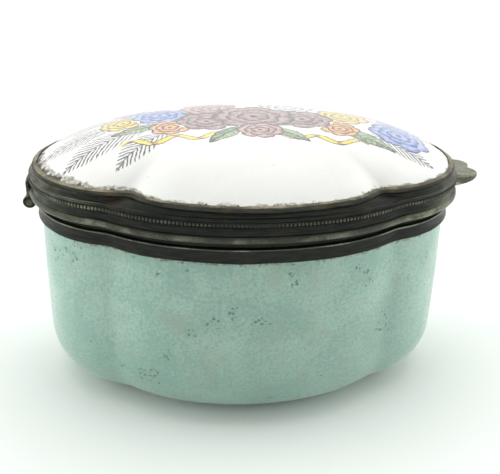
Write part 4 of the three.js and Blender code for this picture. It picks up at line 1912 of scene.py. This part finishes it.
@dataclass(frozen=True)
class Studio:
    """White surroundings, a pale floor, soft lamps, and the camera at the photograph's angle."""

    focal_pixels: float = 644.85
    camera_place: tuple[float, float, float] = (-9.459, -103.820, 73.500)
    camera_back: tuple[float, float, float] = (-0.08948, -0.89662, 0.43367)
    roll: float = math.radians(1.42)
    clip_metres: tuple[float, float] = (0.005, 20.0)
    floor_half: float = 0.6
    floor_colour: Colour = colour(238, 242, 238)
    floor_fade: tuple[float, float] = (70.0, 170.0)
    tent_opening: tuple[float, float] = (-0.60, 0.30)
    world_strength: tuple[float, float] = (0.05, 0.74)
    lamps: tuple[Lamp, ...] = (
        Lamp("Overhead softbox", (0.0, 0.12, 0.55), (0.7, 0.5), 1.95),
        Lamp("Left softbox", (-0.5, -0.02, 0.18), (0.7, 0.5), 2.75),
        Lamp("Right softbox", (0.5, -0.02, 0.18), (0.7, 0.5), 2.8),
    )

    def camera(self) -> None:
        """Adds the camera and makes it the scene's."""
        back = Vector(self.camera_back).normalized()
        data = bpy.data.cameras.new("Camera")
        data.sensor_width = SENSOR_WIDTH
        data.lens = self.focal_pixels / IMAGE_WIDTH * SENSOR_WIDTH
        data.clip_start, data.clip_end = self.clip_metres
        level = Vector((0, 0, 1)).cross(back).normalized()
        up = back.cross(level)
        right = level * math.cos(self.roll) + up * math.sin(self.roll)
        above = up * math.cos(self.roll) - level * math.sin(self.roll)
        turn = Matrix((right, above, back)).transposed()
        camera = linked("Camera", data)
        camera.matrix_world = Matrix.Translation(Vector(self.camera_place) * MM) @ turn.to_4x4()
        bpy.context.scene.camera = camera

    def world(self) -> None:
        """Lights the scene with white, dimmer in front, as a light tent's opening is."""
        world = bpy.data.worlds.new("White surroundings")
        world.use_nodes = True
        board = Board(world.node_tree)
        seen = sees_background(board)
        to_back = board.split(board.outs("TexCoord")["Generated"])[1]
        tent = board.range(to_back, *self.tent_opening, *self.world_strength)
        sky = board.outs("Background", Color=WHITE, Strength=tent * (1.0 - seen) + seen)
        board.node("OutputWorld", Surface=sky[0])
        bpy.context.scene.world = world

    def floor(self) -> None:
        """Adds the floor, which fades to white away from the box."""
        mesh = bmesh.new()
        bmesh.ops.create_grid(mesh, x_segments=4, y_segments=4, size=self.floor_half)
        floor = as_object("Floor", mesh)
        material = bpy.data.materials.new("Pale floor")
        material.use_nodes = True
        board = Board(material.node_tree)
        fade = board.range(board.length(board.place()), *self.floor_fade)
        matt = board.outs("BsdfDiffuse", Color=self.floor_colour)
        glow = board.outs("Emission", Color=WHITE, Strength=1.0)
        both = board.node("MixShader")
        for socket, value in zip(both.inputs, (fade * sees_background(board), matt[0], glow[0])):
            board.feed(socket, value)
        board.node("OutputMaterial", Surface=both.outputs[0])
        floor.data.materials.append(material)

    def build(self) -> None:
        """Sets up the camera, the lights and the floor."""
        bpy.context.scene.view_settings.view_transform = "Standard"
        self.camera()
        self.world()
        self.floor()
        for lamp in self.lamps:
            lamp.build()


def main() -> None:
    """Builds the studio and the box."""
    logging.basicConfig(level=logging.INFO, format="%(message)s")
    Studio().build()
    palette = Palette()
    hinge = Hinge()
    hinge.build(palette)
    Cup(hinge).build(palette)
    Lid(hinge).build(palette)


if __name__ == "__main__":
    main()
